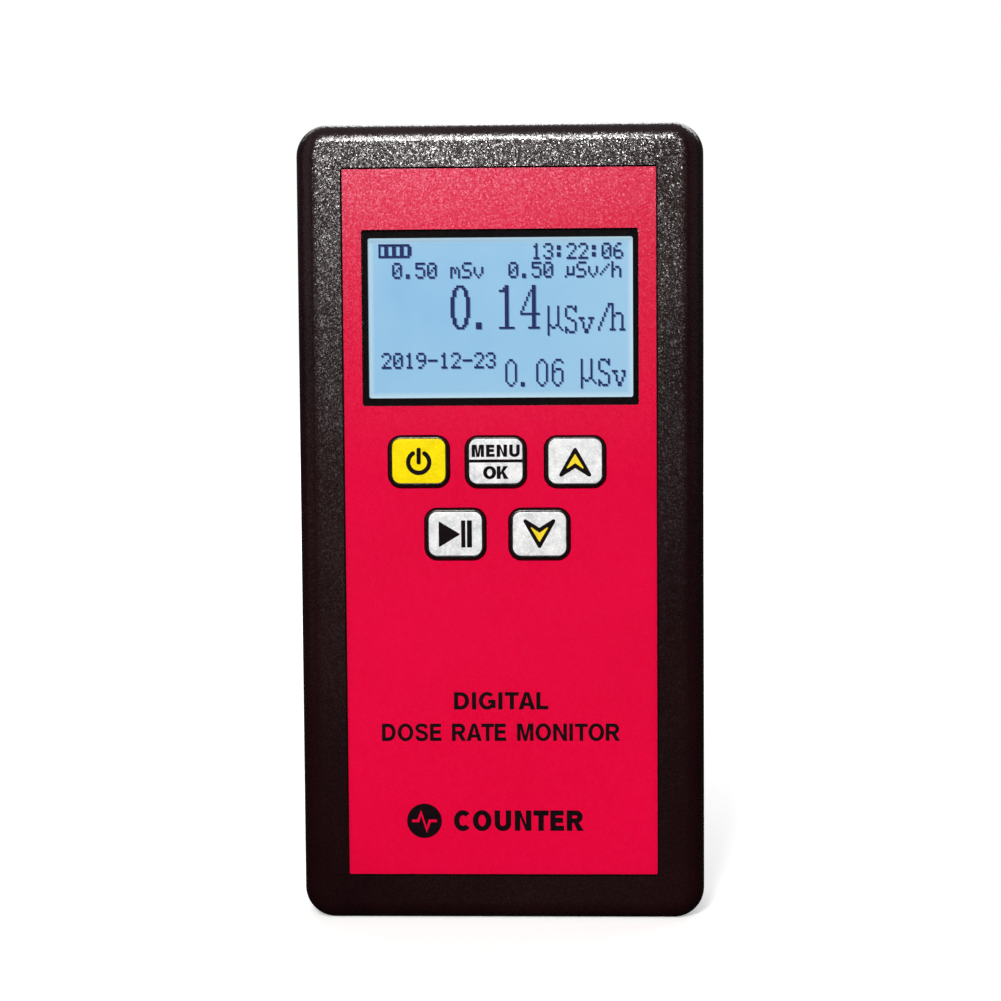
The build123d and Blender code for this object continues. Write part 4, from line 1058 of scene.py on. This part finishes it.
kx, kz, body = build_key("key_up", KEY_SILVER)
arrow(kx, kz, False, body, "icon_up")
kx, kz, body = build_key("key_play", KEY_SILVER)
icon("icon_play", [
    rounded([(kx - 3.12, kz - 2.45), (kx + 0.98, kz + 0.03), (kx - 3.12, kz + 2.51)], 0.12),
    rect(kx + 1.50, kz + 0.08, 0.80, 5.1, 0.08), rect(kx + 2.66, kz + 0.08, 0.94, 5.1, 0.08),
], body)
kx, kz, body = build_key("key_down", KEY_SILVER)
arrow(kx, kz + 0.1, True, body, "icon_down")


# ---------------------------------------------------------------------- stage
def stage_floor():
    """Pale floor: it answers the camera in white with the object's soft shadow, and stays dim in reflections."""
    m = Mat("studio_floor")
    m.nt.nodes.remove(m.bsdf)
    near = m.add("ShaderNodeBsdfDiffuse")
    m.put(m.mix(m.maprange(m.noise(6.0, 3.0), 0.3, 0.7, 0, 1), (0.78, 0.78, 0.78, 1), (0.82, 0.82, 0.82, 1)), near.inputs["Color"])
    dim = m.add("ShaderNodeBsdfDiffuse")
    path = m.add("ShaderNodeLightPath")
    x, y, z = m.xyz()
    seen = m.mix(m.maprange(y, 0.08, 0.5, 0.0, 1.0), (0.015, 0.015, 0.015, 1), (0.03, 0.03, 0.03, 1))
    m.link(m.mix(path.outputs["Is Glossy Ray"], (0.5, 0.5, 0.5, 1), seen), dim.inputs["Color"])
    away = m.math("SQRT", m.math("ADD", m.math("MULTIPLY", x, x), m.math("MULTIPLY", y, y)))
    glow = m.add("ShaderNodeEmission")
    glow.inputs["Color"].default_value = (1, 1, 1, 1)
    m.link(m.maprange(away, 0.05, 0.7, 0.42, 1.0), glow.inputs["Strength"])
    both = m.add("ShaderNodeAddShader")
    m.link(near.outputs[0], both.inputs[0])
    m.link(glow.outputs[0], both.inputs[1])
    mix = m.add("ShaderNodeMixShader")
    m.link(path.outputs["Is Camera Ray"], mix.inputs["Fac"])
    m.link(dim.outputs[0], mix.inputs[1])
    m.link(both.outputs[0], mix.inputs[2])
    m.link(mix.outputs[0], m.out.inputs["Surface"])
    s = 6.0
    ob = new_object("studio_floor", [(-s, -s, 0), (s, -s, 0), (s, s, 0), (-s, s, 0)], [[0, 1, 2, 3]], m)


stage_floor()


def area(name, loc, aim, size_x, size_y, watts, colour=(1, 1, 1)):
    li = bpy.data.lights.new(name, "AREA")
    li.shape = "RECTANGLE"
    li.size, li.size_y = size_x, size_y
    li.energy = watts
    li.color = colour
    ob = bpy.data.objects.new(name, li)
    ob.location = loc
    ob.rotation_mode = "QUATERNION"
    ob.rotation_quaternion = (Vector(aim) - Vector(loc)).to_track_quat("-Z", "Y")
    scene.collection.objects.link(ob)
    return ob


area("light_key", (-0.090, -0.75, 0.388), (0.0, 0.0, 0.09), 0.11, 0.075, 5.8, (1.0, 0.985, 0.965))
area("light_high", (-0.05, -0.72, 0.605), (0.0, 0.0, 0.14), 0.24, 0.08, 2.1, (1.0, 0.985, 0.95))
area("light_left", (-0.95, -0.30, 0.35), (0, 0, 0.08), 0.9, 0.9, 0.7)
area("light_right", (0.95, -0.15, 0.35), (0, 0, 0.08), 0.9, 0.9, 0.25)
area("light_back_l", (-0.50, 1.15, 1.00), (0, 0, 0.08), 1.3, 0.8, 3.6)
area("light_back_r", (0.45, 1.15, 1.05), (0, 0, 0.08), 1.5, 0.9, 13.0)

world = bpy.data.worlds.new("studio")
scene.world = world
world.use_nodes = True
wt = world.node_tree
wt.nodes.clear()
wo = wt.nodes.new("ShaderNodeOutputWorld")
bg_cam = wt.nodes.new("ShaderNodeBackground")
bg_cam.inputs["Color"].default_value = (1, 1, 1, 1)
bg_cam.inputs["Strength"].default_value = 1.0
bg_light = wt.nodes.new("ShaderNodeBackground")
bg_light.inputs["Color"].default_value = (1, 1, 1, 1)
direction = wt.nodes.new("ShaderNodeTexCoord")
split = wt.nodes.new("ShaderNodeSeparateXYZ")
wt.links.new(direction.outputs["Generated"], split.inputs[0])
sky = wt.nodes.new("ShaderNodeMapRange")      # dim at eye level, a soft ceiling overhead
sky.interpolation_type = "SMOOTHSTEP"
for key, v in (("From Min", 0.25), ("From Max", 0.95), ("To Min", 0.03), ("To Max", 0.24)):
    sky.inputs[key].default_value = v
wt.links.new(split.outputs[2], sky.inputs["Value"])
rear = wt.nodes.new("ShaderNodeMapRange")     # a little wall light behind the object
rear.interpolation_type = "SMOOTHSTEP"
for key, v in (("From Min", 0.15), ("From Max", 0.8), ("To Min", 0.0), ("To Max", 0.02)):
    rear.inputs[key].default_value = v
wt.links.new(split.outputs[1], rear.inputs["Value"])
total = wt.nodes.new("ShaderNodeMath")
total.operation = "ADD"
wt.links.new(sky.outputs["Result"], total.inputs[0])
wt.links.new(rear.outputs["Result"], total.inputs[1])
wt.links.new(total.outputs[0], bg_light.inputs["Strength"])
wp = wt.nodes.new("ShaderNodeLightPath")
wm = wt.nodes.new("ShaderNodeMixShader")
wt.links.new(wp.outputs["Is Camera Ray"], wm.inputs["Fac"])
wt.links.new(bg_light.outputs[0], wm.inputs[1])
wt.links.new(bg_cam.outputs[0], wm.inputs[2])
wt.links.new(wm.outputs[0], wo.inputs["Surface"])
